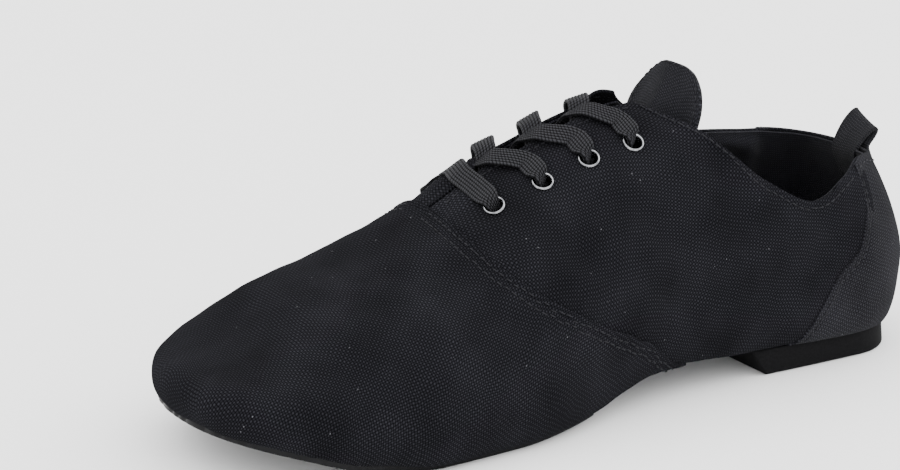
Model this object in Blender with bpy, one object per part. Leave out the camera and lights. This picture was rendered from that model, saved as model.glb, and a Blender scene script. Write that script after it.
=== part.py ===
"""A left jazz shoe of black canvas, laced over a tongue, on a split sole with a low heel.

The toe points along -Y, the outer side of the foot is +X and the shoe stands on z = 0.
Every piece follows one last, a table of sections whose columns are shares of the sizes named first.
"""
import math

import bmesh
import bpy
import numpy as np
from mathutils import Matrix, Vector

# Sizes of the last, in metres
LENGTH = 0.262
BALL_WIDTH = 0.0953
HEEL_WIDTH = 0.0675
INSTEP_HEIGHT = 0.0753
BELLY_HEIGHT = 0.014
ARCH_HEIGHT = 0.011
TOE_SPRING = 0.016
COLLAR_HEIGHT = 0.0618
TUCK = 0.004

# Canvas upper
WALL = 0.0016
VAMP_STEP = 0.0007
COUNTER_STEP = 0.0005
STEP_WIDTH = 0.0004
LASTING_MARGIN = 0.010
THROAT_GAP = 0.011
NOTCH_LENGTH = 0.004

# Soles, heel and insole
FOREFOOT_SOLE = 0.0022
SOLE_INSET = 0.0006
HEEL_HEIGHT = 0.0086
HEEL_LENGTH = 0.070
BREAST_SLANT = 0.006
INSOLE = 0.0025
INSOLE_INSET = 0.0018
INSOLE_ROOM = 0.0007

# Tongue, eyelets, lace and pull loop
TONGUE = 0.0020
TONGUE_WIDTH = 0.058
TONGUE_FREE = 0.0200
TONGUE_ANGLE = math.radians(68)
TONGUE_FLARE = 0.004
EYELET_PITCH = 0.0160
EYELET_MARGIN = 0.0168
FLANGE_RADIUS = 0.0035
BORE_RADIUS = 0.0025
BARREL = 0.00025
FLANGE = 0.0006
LACE_WIDTH = 0.0075
LACE = 0.0013
LACE_ROOM = 0.0008
PINCH = 0.82
STRAP_OFFSET = 0.08
STRAP_RISE = 0.8
STRAP_HIDDEN = 0.45
LOOP_WIDTH = 0.011
LOOP_TAPE = 0.0012
LOOP_RISE = 0.0065
LOOP_ROOM = 0.0012
LOOP_LEGS = (0.010, 0.0065)
LOOP_CROWN = 0.0015
LOOP_BULGE = 0.35
LOOP_PLACE = 0.0015
LOOP_LEAN = 0.0025

# Clearance between two pieces
GAP = 0.0003

# Places along the last, as shares of LENGTH from the back of the heel to the tip of the toe
ROUND_TOE = 0.875
ROUND_HEEL = 0.11
END_POWER = 2.2
FAN_START = 0.80
FAN_END = 0.95
THROAT = 0.635
FIRST_EYELET = 0.587
EYELETS = 4
WAIST_FRONT = 0.56
WAIST_REAR = 0.20
SOLE_REAR = 0.52
INSOLE_ENDS = (0.3, 0.6)

# Fineness of the meshes
HEEL_COLUMNS = 5
QUARTER_COLUMNS = 18
VAMP_COLUMNS = 15
SIDE_ROWS = 11
TUCK_ROWS = 3
WAIST_ROWS = 2
ROUND_SEGMENTS = 12
LOOP_SEGMENTS = 8
STRAP_STEPS = 16
TONGUE_STEPS = 16
SOLE_ROWS = 3
TOE_COLUMNS = 16
BLOCK_COLUMNS = 12
MIDDLE_COLUMNS = 9
TOP_CROWD = 1.25
END_CROWD = 2.2
RIDGE_CROWD = 0.8
RIDGE_STEP = 0.002
NORMAL_STEP = 0.002
WELD = 0.000002

# Sections of the last, a row for each share of its length.
# outer, inner and centre are shares of BALL_WIDTH, rear is a share of HEEL_WIDTH.
# heel, arch, tread and spring weigh the heights that lift the underside off the floor.
# belly is a share of BELLY_HEIGHT and ridge of INSTEP_HEIGHT, both over the underside.
# lean moves the ridge sideways by a share of BALL_WIDTH, and full is the roundness of the section.
LAST_COLUMNS = ("share", "outer", "inner", "rear", "centre", "heel", "arch", "tread", "spring",
                "belly", "ridge", "lean", "full")
LAST_ROWS = (
    (0.00, 0.000, 0.000, 0.500, 0.000, 1.00, 0.00, 0.00, 0.00, 1.50, 0.951, 0.000, 2.25),
    (0.08, 0.000, 0.000, 0.500, 0.000, 1.00, 0.00, 0.00, 0.00, 1.50, 0.951, 0.000, 2.25),
    (0.18, 0.000, 0.000, 0.500, 0.000, 1.00, 0.00, 0.00, 0.00, 1.40, 0.934, 0.000, 2.35),
    (0.30, 0.100, 0.100, 0.352, 0.000, 0.45, 0.52, 0.00, 0.00, 1.20, 1.046, -0.056, 2.18),
    (0.42, 0.280, 0.262, 0.130, 0.000, 0.00, 1.00, 0.00, 0.00, 1.14, 1.000, -0.098, 1.83),
    (0.54, 0.438, 0.420, 0.000, -0.003, 0.00, 0.20, 0.85, 0.00, 1.00, 0.944, -0.140, 1.83),
    (0.64, 0.495, 0.490, 0.000, -0.013, 0.00, 0.00, 1.00, 0.00, 0.86, 0.769, -0.168, 1.94),
    (0.74, 0.505, 0.505, 0.000, -0.010, 0.00, 0.00, 1.00, 0.00, 0.79, 0.632, -0.180, 2.05),
    (0.84, 0.460, 0.480, 0.000, -0.001, 0.00, 0.00, 0.90, 0.23, 0.62, 0.493, -0.168, 2.05),
    (0.93, 0.402, 0.442, 0.000, 0.009, 0.00, 0.00, 0.60, 0.69, 0.46, 0.209, -0.168, 2.15),
    (1.00, 0.363, 0.404, 0.000, 0.015, 0.00, 0.00, 0.30, 1.02, 0.40, 0.086, -0.168, 2.15),
)

# Height of the collar's edge over the floor, as shares of COLLAR_HEIGHT on each side.
COLLAR_COLUMNS = ("share", "outer", "inner")
COLLAR_ROWS = (
    (0.00, 1.000, 1.000),
    (0.06, 1.060, 1.020),
    (0.12, 0.985, 1.035),
    (0.18, 0.905, 1.065),
    (0.25, 1.045, 1.110),
    (0.32, 1.312, 1.280),
    (0.38, 1.440, 1.440),
)

# Width of the throat between the facings, as a share of THROAT_GAP.
THROAT_COLUMNS = ("share", "width")
THROAT_ROWS = (
    (0.34, 0.75),
    (0.40, 0.84),
    (0.47, 1.00),
    (0.53, 1.00),
    (0.60, 0.76),
    (0.66, 0.66),
)

# Where the vamp's edge and the counter's edge run, by level on the wall:
# 1 is the wall's upper edge, 0 its widest line and -1 the edge of the sole.
SEAM_COLUMNS = ("level", "vamp", "counter")
SEAM_ROWS = (
    (-1.00, 0.370, 0.215),
    (-0.50, 0.410, 0.190),
    (0.00, 0.463, 0.158),
    (0.15, 0.515, 0.125),
    (0.30, 0.571, 0.110),
    (0.45, 0.607, 0.099),
    (0.60, 0.627, 0.090),
    (0.80, 0.635, 0.086),
    (1.00, 0.635, 0.093),
)

# The tongue from its root under the vamp to its free top: half is a share of half TONGUE_WIDTH,
# drop makes room for the lace under the facings and rise is a share of TONGUE_FREE.
TONGUE_COLUMNS = ("place", "share", "half", "drop", "rise")
TONGUE_ROWS = (
    (0.00, 0.690, 0.50, 0.00, 0.00),
    (0.10, 0.655, 0.60, 0.15, 0.00),
    (0.20, 0.620, 0.70, 1.00, 0.00),
    (0.36, 0.550, 0.84, 1.00, 0.00),
    (0.50, 0.490, 0.94, 1.00, 0.00),
    (0.64, 0.430, 1.00, 1.00, 0.00),
    (0.73, 0.392, 1.00, 1.00, 0.00),
    (0.79, 0.365, 1.00, 1.80, 0.00),
    (0.84, 0.345, 0.98, 2.60, 0.05),
    (0.88, 0.338, 1.00, 2.60, 0.32),
    (0.93, 0.334, 0.94, 2.60, 0.62),
    (0.97, 0.332, 0.76, 2.60, 0.87),
    (0.99, 0.330, 0.52, 2.60, 0.97),
    (1.00, 0.330, 0.26, 2.60, 1.00),
)

# Colour, roughness and metallic value of each material
FINISHES = {
    "canvas": ((0.012, 0.012, 0.014, 1.0), 0.85, 0.0),
    "lining": ((0.010, 0.010, 0.012, 1.0), 0.90, 0.0),
    "sole": ((0.020, 0.020, 0.022, 1.0), 0.40, 0.0),
    "rubber": ((0.014, 0.014, 0.015, 1.0), 0.55, 0.0),
    "nickel": ((0.62, 0.62, 0.63, 1.0), 0.25, 1.0),
    "cord": ((0.016, 0.016, 0.018, 1.0), 0.80, 0.0),
}


def along(keys, values, at):
    """Smooth curve through the keys that never overshoots, so that equal rows stay flat."""
    steps = np.diff(keys)
    slopes = np.diff(values) / steps
    before, after = slopes[:-1], slopes[1:]
    same = before * after > 0
    total = np.where(same, before + after, 1.0)
    middle = np.where(same, 2 * before * after / total, 0.0)
    tangents = np.concatenate((slopes[:1], middle, slopes[-1:]))
    at = np.clip(at, keys[0], keys[-1])
    cell = np.clip(np.searchsorted(keys, at, side="right") - 1, 0, len(keys) - 2)
    step = steps[cell]
    t = (at - keys[cell]) / step
    return ((2 * t**3 - 3 * t**2 + 1) * values[cell]
            + (t**3 - 2 * t**2 + t) * step * tangents[cell]
            + (3 * t**2 - 2 * t**3) * values[cell + 1]
            + (t**3 - t**2) * step * tangents[cell + 1])


def table(columns, rows):
    """A function that reads one named column of a table at any key."""
    data = dict(zip(columns, np.array(rows).T))
    keys = data[columns[0]]
    return lambda column, at: along(keys, data[column], at)


last = table(LAST_COLUMNS, LAST_ROWS)
collar = table(COLLAR_COLUMNS, COLLAR_ROWS)
throat = table(THROAT_COLUMNS, THROAT_ROWS)
seam = table(SEAM_COLUMNS, SEAM_ROWS)
tongue = table(TONGUE_COLUMNS, TONGUE_ROWS)


def underside(share):
    """Height of the upper's underside over the floor."""
    return (last("heel", share) * (HEEL_HEIGHT + GAP) + last("arch", share) * ARCH_HEIGHT
            + last("tread", share) * (FOREFOOT_SOLE + GAP) + last("spring", share) * TOE_SPRING)


def fan(share):
    """Share on the centre line that a section springs from. All sections of a round end share one."""
    reach = FAN_END - FAN_START
    toe = np.clip((share - FAN_START) / reach, 0, 1)
    heel = np.clip((1 - FAN_START - share) / reach, 0, 1)
    middle = np.clip(share, 1 - FAN_START, FAN_START)
    return middle + reach * (toe - toe**2 / 2) - reach * (heel - heel**2 / 2)


def widest(side, share):
    """Plan place of the widest line on one side: +1 is the outer side and -1 the inner one."""
    share = np.asarray(share, float)
    ball = last("outer" if side > 0 else "inner", share) * BALL_WIDTH
    toe = np.clip((share - ROUND_TOE) / (1 - ROUND_TOE), 0, 1)
    heel = np.clip((ROUND_HEEL - share) / ROUND_HEEL, 0, 1)
    ends = (1 - toe**END_POWER) ** (1 / END_POWER) * (1 - heel**END_POWER) ** (1 / END_POWER)
    across = last("centre", share) * BALL_WIDTH + side * (ball + last("rear", share) * HEEL_WIDTH) * ends
    return np.stack((across, LENGTH * (0.5 - share)), -1)


def spine(share):
    """Plan place on the centre line of the underside that a section springs from."""
    middle = fan(share)
    return np.stack((last("centre", middle) * BALL_WIDTH, LENGTH * (0.5 - middle)), -1)


def sole_point(side, share, inset=0.0, part=0.0):
    """Point of the underside: inset inwards from its edge, then part of the way to the centre line."""
    wide = widest(side, share)
    middle = spine(share)
    inward = middle - wide
    inward /= np.linalg.norm(inward, axis=-1, keepdims=True)
    edge = wide + inward * (TUCK + inset)
    plan = edge + (middle - edge) * part
    height = underside(0.5 - plan[..., 1] / LENGTH)
    return np.concatenate((plan, height[..., None]), -1)


def ridge_height(share):
    """Height of the ridge over the floor."""
    return underside(share) + last("ridge", share) * INSTEP_HEIGHT


def skin(side, share, level):
    """Point on the last: level 1 is the ridge, 0 the widest line and -1 the edge of the sole."""
    share, level = np.broadcast_arrays(np.asarray(share, float), np.asarray(level, float))
    over = np.clip(level, 0, 1) * math.pi / 2
    under = np.clip(-level, 0, 1) * math.pi / 2
    middle = fan(share)
    power = 2 / last("full", share)
    flat = np.cos(over) ** power
    rise = np.sin(over) ** power
    wide = widest(side, share)
    ridge = np.stack((last("lean", middle) * BALL_WIDTH, LENGTH * (0.5 - middle)), -1)
    plan = ridge + (wide - ridge) * flat[..., None]
    top = ridge_height(middle)
    belly = underside(share) + last("belly", share) * BELLY_HEIGHT
    ahead = np.clip(middle + RIDGE_STEP, 0, 1)
    behind = np.clip(middle - RIDGE_STEP, 0, 1)
    slope = (ridge_height(ahead) - ridge_height(behind)) / ((ahead - behind) * LENGTH)
    forward = ridge[..., 1] - plan[..., 1]
    height = belly + (top - belly) * rise + slope * forward * (1 - flat)
    edge = sole_point(side, share)
    tuck = 1 - np.cos(under)
    plan = plan + (edge[..., :2] - wide) * tuck[..., None]
    height = height + (edge[..., 2] - belly) * np.sin(under)
    return np.concatenate((plan, height[..., None]), -1)


def outward(side, share, level):
    """Unit normal of the last, away from the foot."""
    small = NORMAL_STEP
    fore = skin(side, share + small, level) - skin(side, share - small, level)
    down = skin(side, share, level - small) - skin(side, share, level + small)
    normal = np.cross(fore, down) * side
    return normal / np.linalg.norm(normal, axis=-1, keepdims=True)


SWEEP = np.linspace(1, 0, 161)


def level_at_arc(side, share, distance):
    """Level that lies a distance along the surface down from the ridge."""
    points = skin(side, share, SWEEP)
    arc = np.concatenate(([0.0], np.cumsum(np.linalg.norm(np.diff(points, axis=0), axis=1))))
    return float(np.interp(distance, arc, SWEEP))


def level_at_height(side, share, height):
    """Level at which one section reaches a height over the floor."""
    return float(np.interp(-height, -skin(side, share, SWEEP)[:, 2], SWEEP))


def half_throat(share):
    """Distance of a facing's edge from the ridge, rounded off where the throat ends in the vamp."""
    notch = NOTCH_LENGTH / LENGTH
    past = min(max((share - THROAT) / notch, 0.0), 1.0)
    return float(throat("width", share)) * THROAT_GAP / 2 * math.sqrt(1 - past**2)


def upper_edge(side, share):
    """Level of the wall's free edge: the ridge on the vamp, then the facing, then the collar."""
    facing = level_at_arc(side, share, half_throat(share))
    height = float(collar("outer" if side > 0 else "inner", share)) * COLLAR_HEIGHT
    if share > COLLAR_ROWS[-1][0]:
        return facing
    return min(facing, level_at_height(side, share, height))


def over(share, across, height):
    """Point over the instep: across is measured along the surface from the ridge, + to the outer side."""
    side = 1 if across >= 0 else -1
    level = level_at_arc(side, share, abs(across))
    return skin(side, share, level) + outward(side, share, level) * height


class Sheet:
    """An open sheet of quads and triangles whose equal points are one point."""

    def __init__(self):
        self.points = []
        self.relief = []
        self.faces = []
        self.known = {}

    def point(self, place, relief):
        key = tuple(np.round(place / WELD).astype(int))
        if key not in self.known:
            self.known[key] = len(self.points)
            self.points.append(place)
            self.relief.append(relief)
        index = self.known[key]
        self.relief[index] = max(self.relief[index], relief)
        return index

    def grid(self, rows, reliefs=None, turned=False):
        """Add a grid of points, a list of rows; reliefs says how far each point stands proud."""
        if reliefs is None:
            reliefs = np.zeros((len(rows), len(rows[0])))
        ids = [[self.point(*pair) for pair in zip(row, relief)] for row, relief in zip(rows, reliefs)]
        for above, below in zip(ids[:-1], ids[1:]):
            for k in range(len(above) - 1):
                ring = [above[k], above[k + 1], below[k + 1], below[k]]
                corners = [p for n, p in enumerate(ring) if p != ring[n - 1]]
                if len(corners) > 2:
                    self.faces.append(corners[::-1] if turned else corners)

    def normals(self):
        points = np.array(self.points)
        total = np.zeros_like(points)
        for face in self.faces:
            a, b = points[face[0]], points[face[-1]]
            c, d = points[face[1]], points[face[len(face) // 2]]
            total[face] += np.cross(d - a, b - c) if len(face) == 4 else np.cross(c - a, b - a)
        return total / np.linalg.norm(total, axis=1, keepdims=True)


def between(name, sheet, outside, inside, finish):
    """Closed solid between two copies of a sheet, joined by a rim around every open edge."""
    count = len(sheet.points)
    faces = list(sheet.faces)
    edges = {(f[k - 1], f[k]) for f in sheet.faces for k in range(len(f))}
    faces += [[p + count for p in reversed(f)] for f in sheet.faces]
    faces += [[b, a, a + count, b + count] for a, b in sorted(edges) if (b, a) not in edges]
    mesh = bpy.data.meshes.new(name)
    mesh.from_pydata([tuple(p) for p in np.concatenate((outside, inside))], [], faces)
    mesh.validate()
    shape = bmesh.new()
    shape.from_mesh(mesh)
    bmesh.ops.triangulate(shape, faces=shape.faces, quad_method="SHORT_EDGE")
    shape.to_mesh(mesh)
    shape.free()
    return add(name, mesh, finish)


def thick(name, sheet, out, back, finish):
    """Closed solid out from a sheet along its normals and back behind it."""
    points = np.array(sheet.points)
    normals = sheet.normals()
    relief = np.array(sheet.relief)[:, None]
    return between(name, sheet, points + normals * (out + relief), points - normals * back, finish)


def layer(name, sheet, low, high, finish):
    """Closed solid between two heights over or under a sheet that faces down."""
    points = np.array(sheet.points)
    return between(name, sheet, points + (0, 0, low), points + (0, 0, high), finish)


def material(finish):
    """The Principled material of one finish, made once."""
    if finish in bpy.data.materials:
        return bpy.data.materials[finish]
    colour, roughness, metallic = FINISHES[finish]
    made = bpy.data.materials.new(finish)
    made.use_nodes = True
    shader = made.node_tree.nodes["Principled BSDF"]
    shader.inputs["Base Color"].default_value = colour
    shader.inputs["Roughness"].default_value = roughness
    shader.inputs["Metallic"].default_value = metallic
    made.diffuse_color = colour
    return made


def add(name, mesh, finish):
    """Put a mesh into the scene as a named object with its own finish."""
    mesh.materials.append(material(finish))
    mesh.shade_smooth()
    mesh.set_sharp_from_angle(angle=math.radians(40))
    piece = bpy.data.objects.new(name, mesh)
    bpy.context.scene.collection.objects.link(piece)
    return piece


def cut(piece, tool, operation):
    """Boolean of two objects; the tool stays as a hidden guide."""
    modifier = piece.modifiers.new(operation.lower(), "BOOLEAN")
    modifier.operation = operation
    modifier.object = tool
    modifier.solver = "EXACT"
    tool.hide_render = True
    tool.display_type = "WIRE"


def columns(level):
    """Shares of all the upper's columns at one level, from the back of the heel to the toe."""
    step = STEP_WIDTH / LENGTH
    back = float(seam("counter", level))
    front = float(seam("vamp", level))
    heel = back * np.linspace(0, 1, HEEL_COLUMNS + 1) ** END_CROWD
    quarter = np.linspace(back + step, front - step, QUARTER_COLUMNS + 1)
    run = np.linspace(0, 1, VAMP_COLUMNS + 1)
    crowd = RIDGE_CROWD * max(level, 0.0)
    vamp = front + (1 - front) * (1 - (1 - run) ** END_CROWD) * run**crowd
    return np.concatenate((heel, quarter, vamp))


def column_relief():
    """How far each column stands proud: the counter and the vamp lie over the quarter."""
    return ([COUNTER_STEP] * (HEEL_COLUMNS + 1) + [0.0] * (QUARTER_COLUMNS + 1)
            + [VAMP_STEP] * (VAMP_COLUMNS + 1))


def make_upper():
    """The upper as one hollow shell, open at the collar, the throat and under both soles."""
    sheet = Sheet()
    relief = np.array(column_relief())
    levels = list(1 - np.linspace(0, 1, SIDE_ROWS + 1) ** TOP_CROWD)
    levels += list(-np.arange(1, TUCK_ROWS + 1) / TUCK_ROWS)
    edge_columns = columns(-1.0)
    inner = np.linspace(0, 1, WAIST_ROWS + 1)
    waist = [k for k, share in enumerate(edge_columns) if WAIST_REAR <= share <= WAIST_FRONT]
    for side in (1, -1):
        top = np.array([upper_edge(side, share) for share in columns(1.0)])
        rows = [skin(side, columns(level), level * (top if level > 0 else 1.0)) for level in levels]
        rows.append(sole_point(side, edge_columns, LASTING_MARGIN))
        fade = np.clip(1 + np.array(levels + [-1.0]), 0, 1)
        sheet.grid(rows, fade[:, None] * relief, turned=side < 0)
        closing = [sole_point(side, edge_columns[waist], LASTING_MARGIN, part) for part in inner]
        sheet.grid(closing, turned=side < 0)
    upper = thick("upper", sheet, 0.0, WALL, "canvas")
    for side in (1, -1):
        for number in range(EYELETS):
            cut(upper, eyelet_cutter(side, number), "DIFFERENCE")
    return upper


def eyelet_share(number):
    return FIRST_EYELET - number * EYELET_PITCH / LENGTH


def eyelet_across(number):
    """Distance of an eyelet from the ridge: the facing's edge and then its margin."""
    return half_throat(eyelet_share(number)) + EYELET_MARGIN


def eyelet_frame(side, number):
    """Matrix that stands z along the upper's normal at an eyelet."""
    share = eyelet_share(number)
    level = level_at_arc(side, share, eyelet_across(number))
    place = skin(side, share, level)
    normal = Vector(outward(side, share, level))
    return Matrix.Translation(Vector(place)) @ normal.to_track_quat("Z", "Y").to_matrix().to_4x4()


def turned(name, profile, frame, finish):
    """Solid of revolution about z from a closed profile of radius and height, placed by a frame."""
    shape = bmesh.new()
    rings = []
    for k in range(ROUND_SEGMENTS):
        angle = 2 * math.pi * k / ROUND_SEGMENTS
        rings.append([shape.verts.new((r * math.cos(angle), r * math.sin(angle), z)) for r, z in profile])
    for k, ring in enumerate(rings):
        back = rings[k - 1]
        for j in range(len(profile)):
            shape.faces.new((back[j - 1], ring[j - 1], ring[j], back[j]))
    bmesh.ops.recalc_face_normals(shape, faces=shape.faces)
    bmesh.ops.transform(shape, matrix=frame, verts=shape.verts)
    mesh = bpy.data.meshes.new(name)
    shape.to_mesh(mesh)
    shape.free()
    return add(name, mesh, finish)


def eyelet_cutter(side, number):
    """Round punch for one eyelet's hole."""
    radius = (BORE_RADIUS + BARREL + GAP) / math.cos(math.pi / ROUND_SEGMENTS)
    shape = bmesh.new()
    bmesh.ops.create_cone(shape, cap_ends=True, segments=ROUND_SEGMENTS, radius1=radius, radius2=radius,
                          depth=6 * WALL)
    bmesh.ops.transform(shape, matrix=eyelet_frame(side, number), verts=shape.verts)
    mesh = bpy.data.meshes.new("punch")
    shape.to_mesh(mesh)
    shape.free()
    return add(f"punch_{'outer' if side > 0 else 'inner'}_{number + 1}", mesh, "nickel")


def make_eyelet(side, number):
    """A metal ring: a flange on the canvas, a barrel through it and a rolled back."""
    barrel = BORE_RADIUS + BARREL
    front = GAP
    back = -(WALL + 2 * GAP)
    profile = (
        (BORE_RADIUS, front + FLANGE),
        (FLANGE_RADIUS - FLANGE / 2, front + FLANGE),
        (FLANGE_RADIUS, front),
        (barrel, front),
        (barrel, back),
        (FLANGE_RADIUS, back),
        (BORE_RADIUS, back - FLANGE),
    )
    name = f"eyelet_{'outer' if side > 0 else 'inner'}_{number + 1}"
    return turned(name, profile, eyelet_frame(side, number), "nickel")


def make_tongue():
    """The tongue: rooted under the vamp, low enough for the lace, with a wide round top."""
    sheet = Sheet()
    places = 1 - (1 - np.linspace(0, 1, TONGUE_STEPS + 1)) ** TOP_CROWD
    across = np.linspace(-1, 1, TONGUE_STEPS - 3)
    lift = TONGUE_FREE * np.array((0, math.cos(TONGUE_ANGLE), math.sin(TONGUE_ANGLE)))
    rows = []
    for place in places:
        share, half, drop, rise = (float(tongue(name, place)) for name in TONGUE_COLUMNS[1:])
        depth = WALL + GAP + drop * (LACE + 2 * LACE_ROOM)
        row = []
        for part in across:
            flare = TONGUE_FLARE * rise * (part * half) ** 2
            point = over(share, part * half * TONGUE_WIDTH / 2, flare - depth)
            row.append(point + lift * rise)
        rows.append(row)
    sheet.grid(rows)
    return thick("tongue", sheet, 0.0, TONGUE, "canvas")


def sole_sheet(shares, inset):
    """Sheet of the underside between two shares, facing down."""
    sheet = Sheet()
    for side in (1, -1):
        rows = [sole_point(side, shares, inset, part) for part in np.linspace(0, 1, SOLE_ROWS + 1)]
        sheet.grid(rows, turned=side < 0)
    return sheet


def toe_shares(start, count):
    """Shares from a start to the tip of the toe, closer together towards the tip."""
    return start + (1 - start) * (1 - (1 - np.linspace(0, 1, count)) ** END_CROWD)


def heel_shares(end, count):
    """Shares from the back of the heel to an end, closer together towards the back."""
    return end * np.linspace(0, 1, count) ** END_CROWD


def make_forefoot_sole():
    """Thin sole under the ball and the toe, with the last's toe spring."""
    sheet = sole_sheet(toe_shares(SOLE_REAR, TOE_COLUMNS), SOLE_INSET)
    return layer("forefoot_sole", sheet, -(GAP + FOREFOOT_SOLE), -GAP, "sole")


def make_heel():
    """Low heel block: a flat tread, a top that follows the upper and a slanted breast."""
    sheet = sole_sheet(heel_shares(HEEL_LENGTH / LENGTH, BLOCK_COLUMNS), SOLE_INSET)
    points = np.array(sheet.points)
    tread = points.copy()
    tread[:, 1] = LENGTH / 2 - (LENGTH / 2 - points[:, 1]) * (1 - BREAST_SLANT / HEEL_LENGTH)
    tread[:, 2] = 0.0
    return between("heel", sheet, tread, points - (0, 0, GAP), "rubber")


def make_insole():
    """Insole along the whole foot, resting on the wall's turned-in edge."""
    sheet = Sheet()
    rear, front = INSOLE_ENDS
    middle = np.linspace(rear, front, MIDDLE_COLUMNS)[1:-1]
    shares = np.concatenate((heel_shares(rear, BLOCK_COLUMNS), middle, toe_shares(front, TOE_COLUMNS)))
    for side in (1, -1):
        rows = [sole_point(side, shares, INSOLE_INSET, part) for part in np.linspace(0, 1, SOLE_ROWS + 1)]
        sheet.grid(rows, turned=side < 0)
    return layer("insole", sheet, WALL + INSOLE_ROOM, WALL + INSOLE_ROOM + INSOLE, "lining")


def ribbon(name, centres, ups, widths, tape, finish):
    """Flat tape along a path: its middle line, the way it faces, its widths and its thickness."""
    centres, ups = np.array(centres), np.array(ups)
    half = np.broadcast_to(widths, len(centres))[:, None] / 2
    runs = np.gradient(centres, axis=0)
    sideways = np.cross(ups, runs)
    sideways /= np.linalg.norm(sideways, axis=1, keepdims=True)
    sheet = Sheet()
    sheet.grid([centres - sideways * half, centres + sideways * half])
    return thick(name, sheet, tape / 2, tape / 2, finish)


def ease(value):
    """Smooth step from 0 to 1."""
    value = min(max(value, 0.0), 1.0)
    return value * value * (3 - 2 * value)


OVER = GAP + LACE / 2
UNDER = -(WALL + LACE_ROOM + LACE / 2)
ON_EYELET = 2 * GAP + FLANGE + LACE / 2


def near_eyelet(across, reach):
    """0 on the canvas and 1 from a flange's width before the eyelet on."""
    return ease((across - reach + 2.5 * FLANGE_RADIUS) / FLANGE_RADIUS)


def lace_path(number, start, finish, side, shift):
    """Middle line of a strap from under one facing to the eyelet of the other side."""
    first = eyelet_share(number)
    second = eyelet_share(number + 1)
    edge = half_throat((first + second) / 2)
    reach = eyelet_across(number + 1)
    centres, ups, widths = [], [], []
    for across in np.linspace(start, finish, STRAP_STEPS + 1):
        part = (across + reach) / (2 * reach)
        share = first + (second - first) * part
        rise = ease((across - shift) / (STRAP_RISE * edge) + 0.5)
        height = UNDER + (OVER - UNDER) * rise
        height += (ON_EYELET - OVER) * near_eyelet(across, reach)
        centres.append(over(share, side * across, height))
        ups.append(over(share, side * across, height + LACE) - centres[-1])
        widths.append(LACE_WIDTH * (PINCH + (1 - PINCH) * ease(abs(across) / edge - STRAP_RISE)))
    return centres, ups, widths


def make_cross(number):
    """One crossing: two straps from under the facings to the next pair of eyelets, joined."""
    straps = []
    edge = half_throat((eyelet_share(number) + eyelet_share(number + 1)) / 2)
    for side, shift, label in ((1, -STRAP_OFFSET, ""), (-1, STRAP_OFFSET, "_lower")):
        start = -(edge + STRAP_HIDDEN * LACE_WIDTH)
        reach = eyelet_across(number + 1)
        centres, ups, widths = lace_path(number, start, reach, side, shift * edge)
        straps.append(ribbon(f"lace_cross_{number + 2}{label}", centres, ups, widths, LACE, "cord"))
    cut(straps[0], straps[1], "UNION")
    return straps[0]


def make_bar():
    """The straight bar of lace over the two lowest eyelets."""
    reach = eyelet_across(0)
    share = eyelet_share(0)
    centres, ups = [], []
    for across in np.linspace(-reach, reach, STRAP_STEPS + 1):
        height = OVER + (ON_EYELET - OVER) * near_eyelet(abs(across), reach)
        centres.append(over(share, across, height))
        ups.append(over(share, across, height + LACE) - centres[-1])
    return ribbon("lace_bar_1", centres, ups, LACE_WIDTH, LACE, "cord")


def make_pull_loop():
    """Folded tape over the back of the collar, its front leg inside and its rear leg outside."""
    rim = float(collar("outer", 0.0)) * COLLAR_HEIGHT
    inside = -(WALL + LOOP_ROOM + LOOP_TAPE / 2)
    outside = COUNTER_STEP + LOOP_ROOM / 2 + LOOP_TAPE / 2
    half = (outside - inside) / 2
    middle = (outside + inside) / 2
    front_leg, rear_leg = LOOP_LEGS
    stops = [(inside, -front_leg * part) for part in (1.0, 0.6, 0.2, 0.0)]
    for angle in np.linspace(0, math.pi, LOOP_SEGMENTS + 1):
        wide = half * (1 + LOOP_BULGE * math.sin(angle))
        height = LOOP_CROWN + (LOOP_RISE - LOOP_CROWN) * math.sin(angle)
        stops.append((middle - wide * math.cos(angle), height))
    stops += [(outside, -rear_leg * part) for part in (0.0, 0.5, 1.0)]
    level = level_at_height(1, 0.0, rim)
    centres = []
    for depth, height in stops:
        at = level_at_height(1, 0.0, rim + min(height, 0.0))
        place = skin(1, 0.0, at)
        normal = outward(1, 0.0, at if height < 0 else level)
        normal[0] = 0.0
        lean = LOOP_LEAN * max(height, 0.0) / LOOP_RISE
        centres.append(place + normal * depth + np.array((LOOP_PLACE, lean, max(height, 0.0))))
    runs = np.gradient(np.array(centres), axis=0)
    ups = np.cross(runs, (1.0, 0.0, 0.0))
    return ribbon("pull_loop", centres, ups, LOOP_WIDTH, LOOP_TAPE, "canvas")


def main():
    for old in list(bpy.data.objects):
        bpy.data.objects.remove(old, do_unlink=True)
    make_upper()
    make_tongue()
    make_insole()
    make_forefoot_sole()
    make_heel()
    for side in (1, -1):
        for number in range(EYELETS):
            make_eyelet(side, number)
    make_bar()
    for number in range(EYELETS - 1):
        make_cross(number)
    make_pull_loop()


main()
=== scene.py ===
"""Dresses a left jazz shoe of black canvas around its fixed frame.

Every piece follows the shoe's last, the same short tables of sections that its solids follow.
"""
import math
from functools import lru_cache

import bpy
import numpy as np
from mathutils import Matrix, Vector


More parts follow.
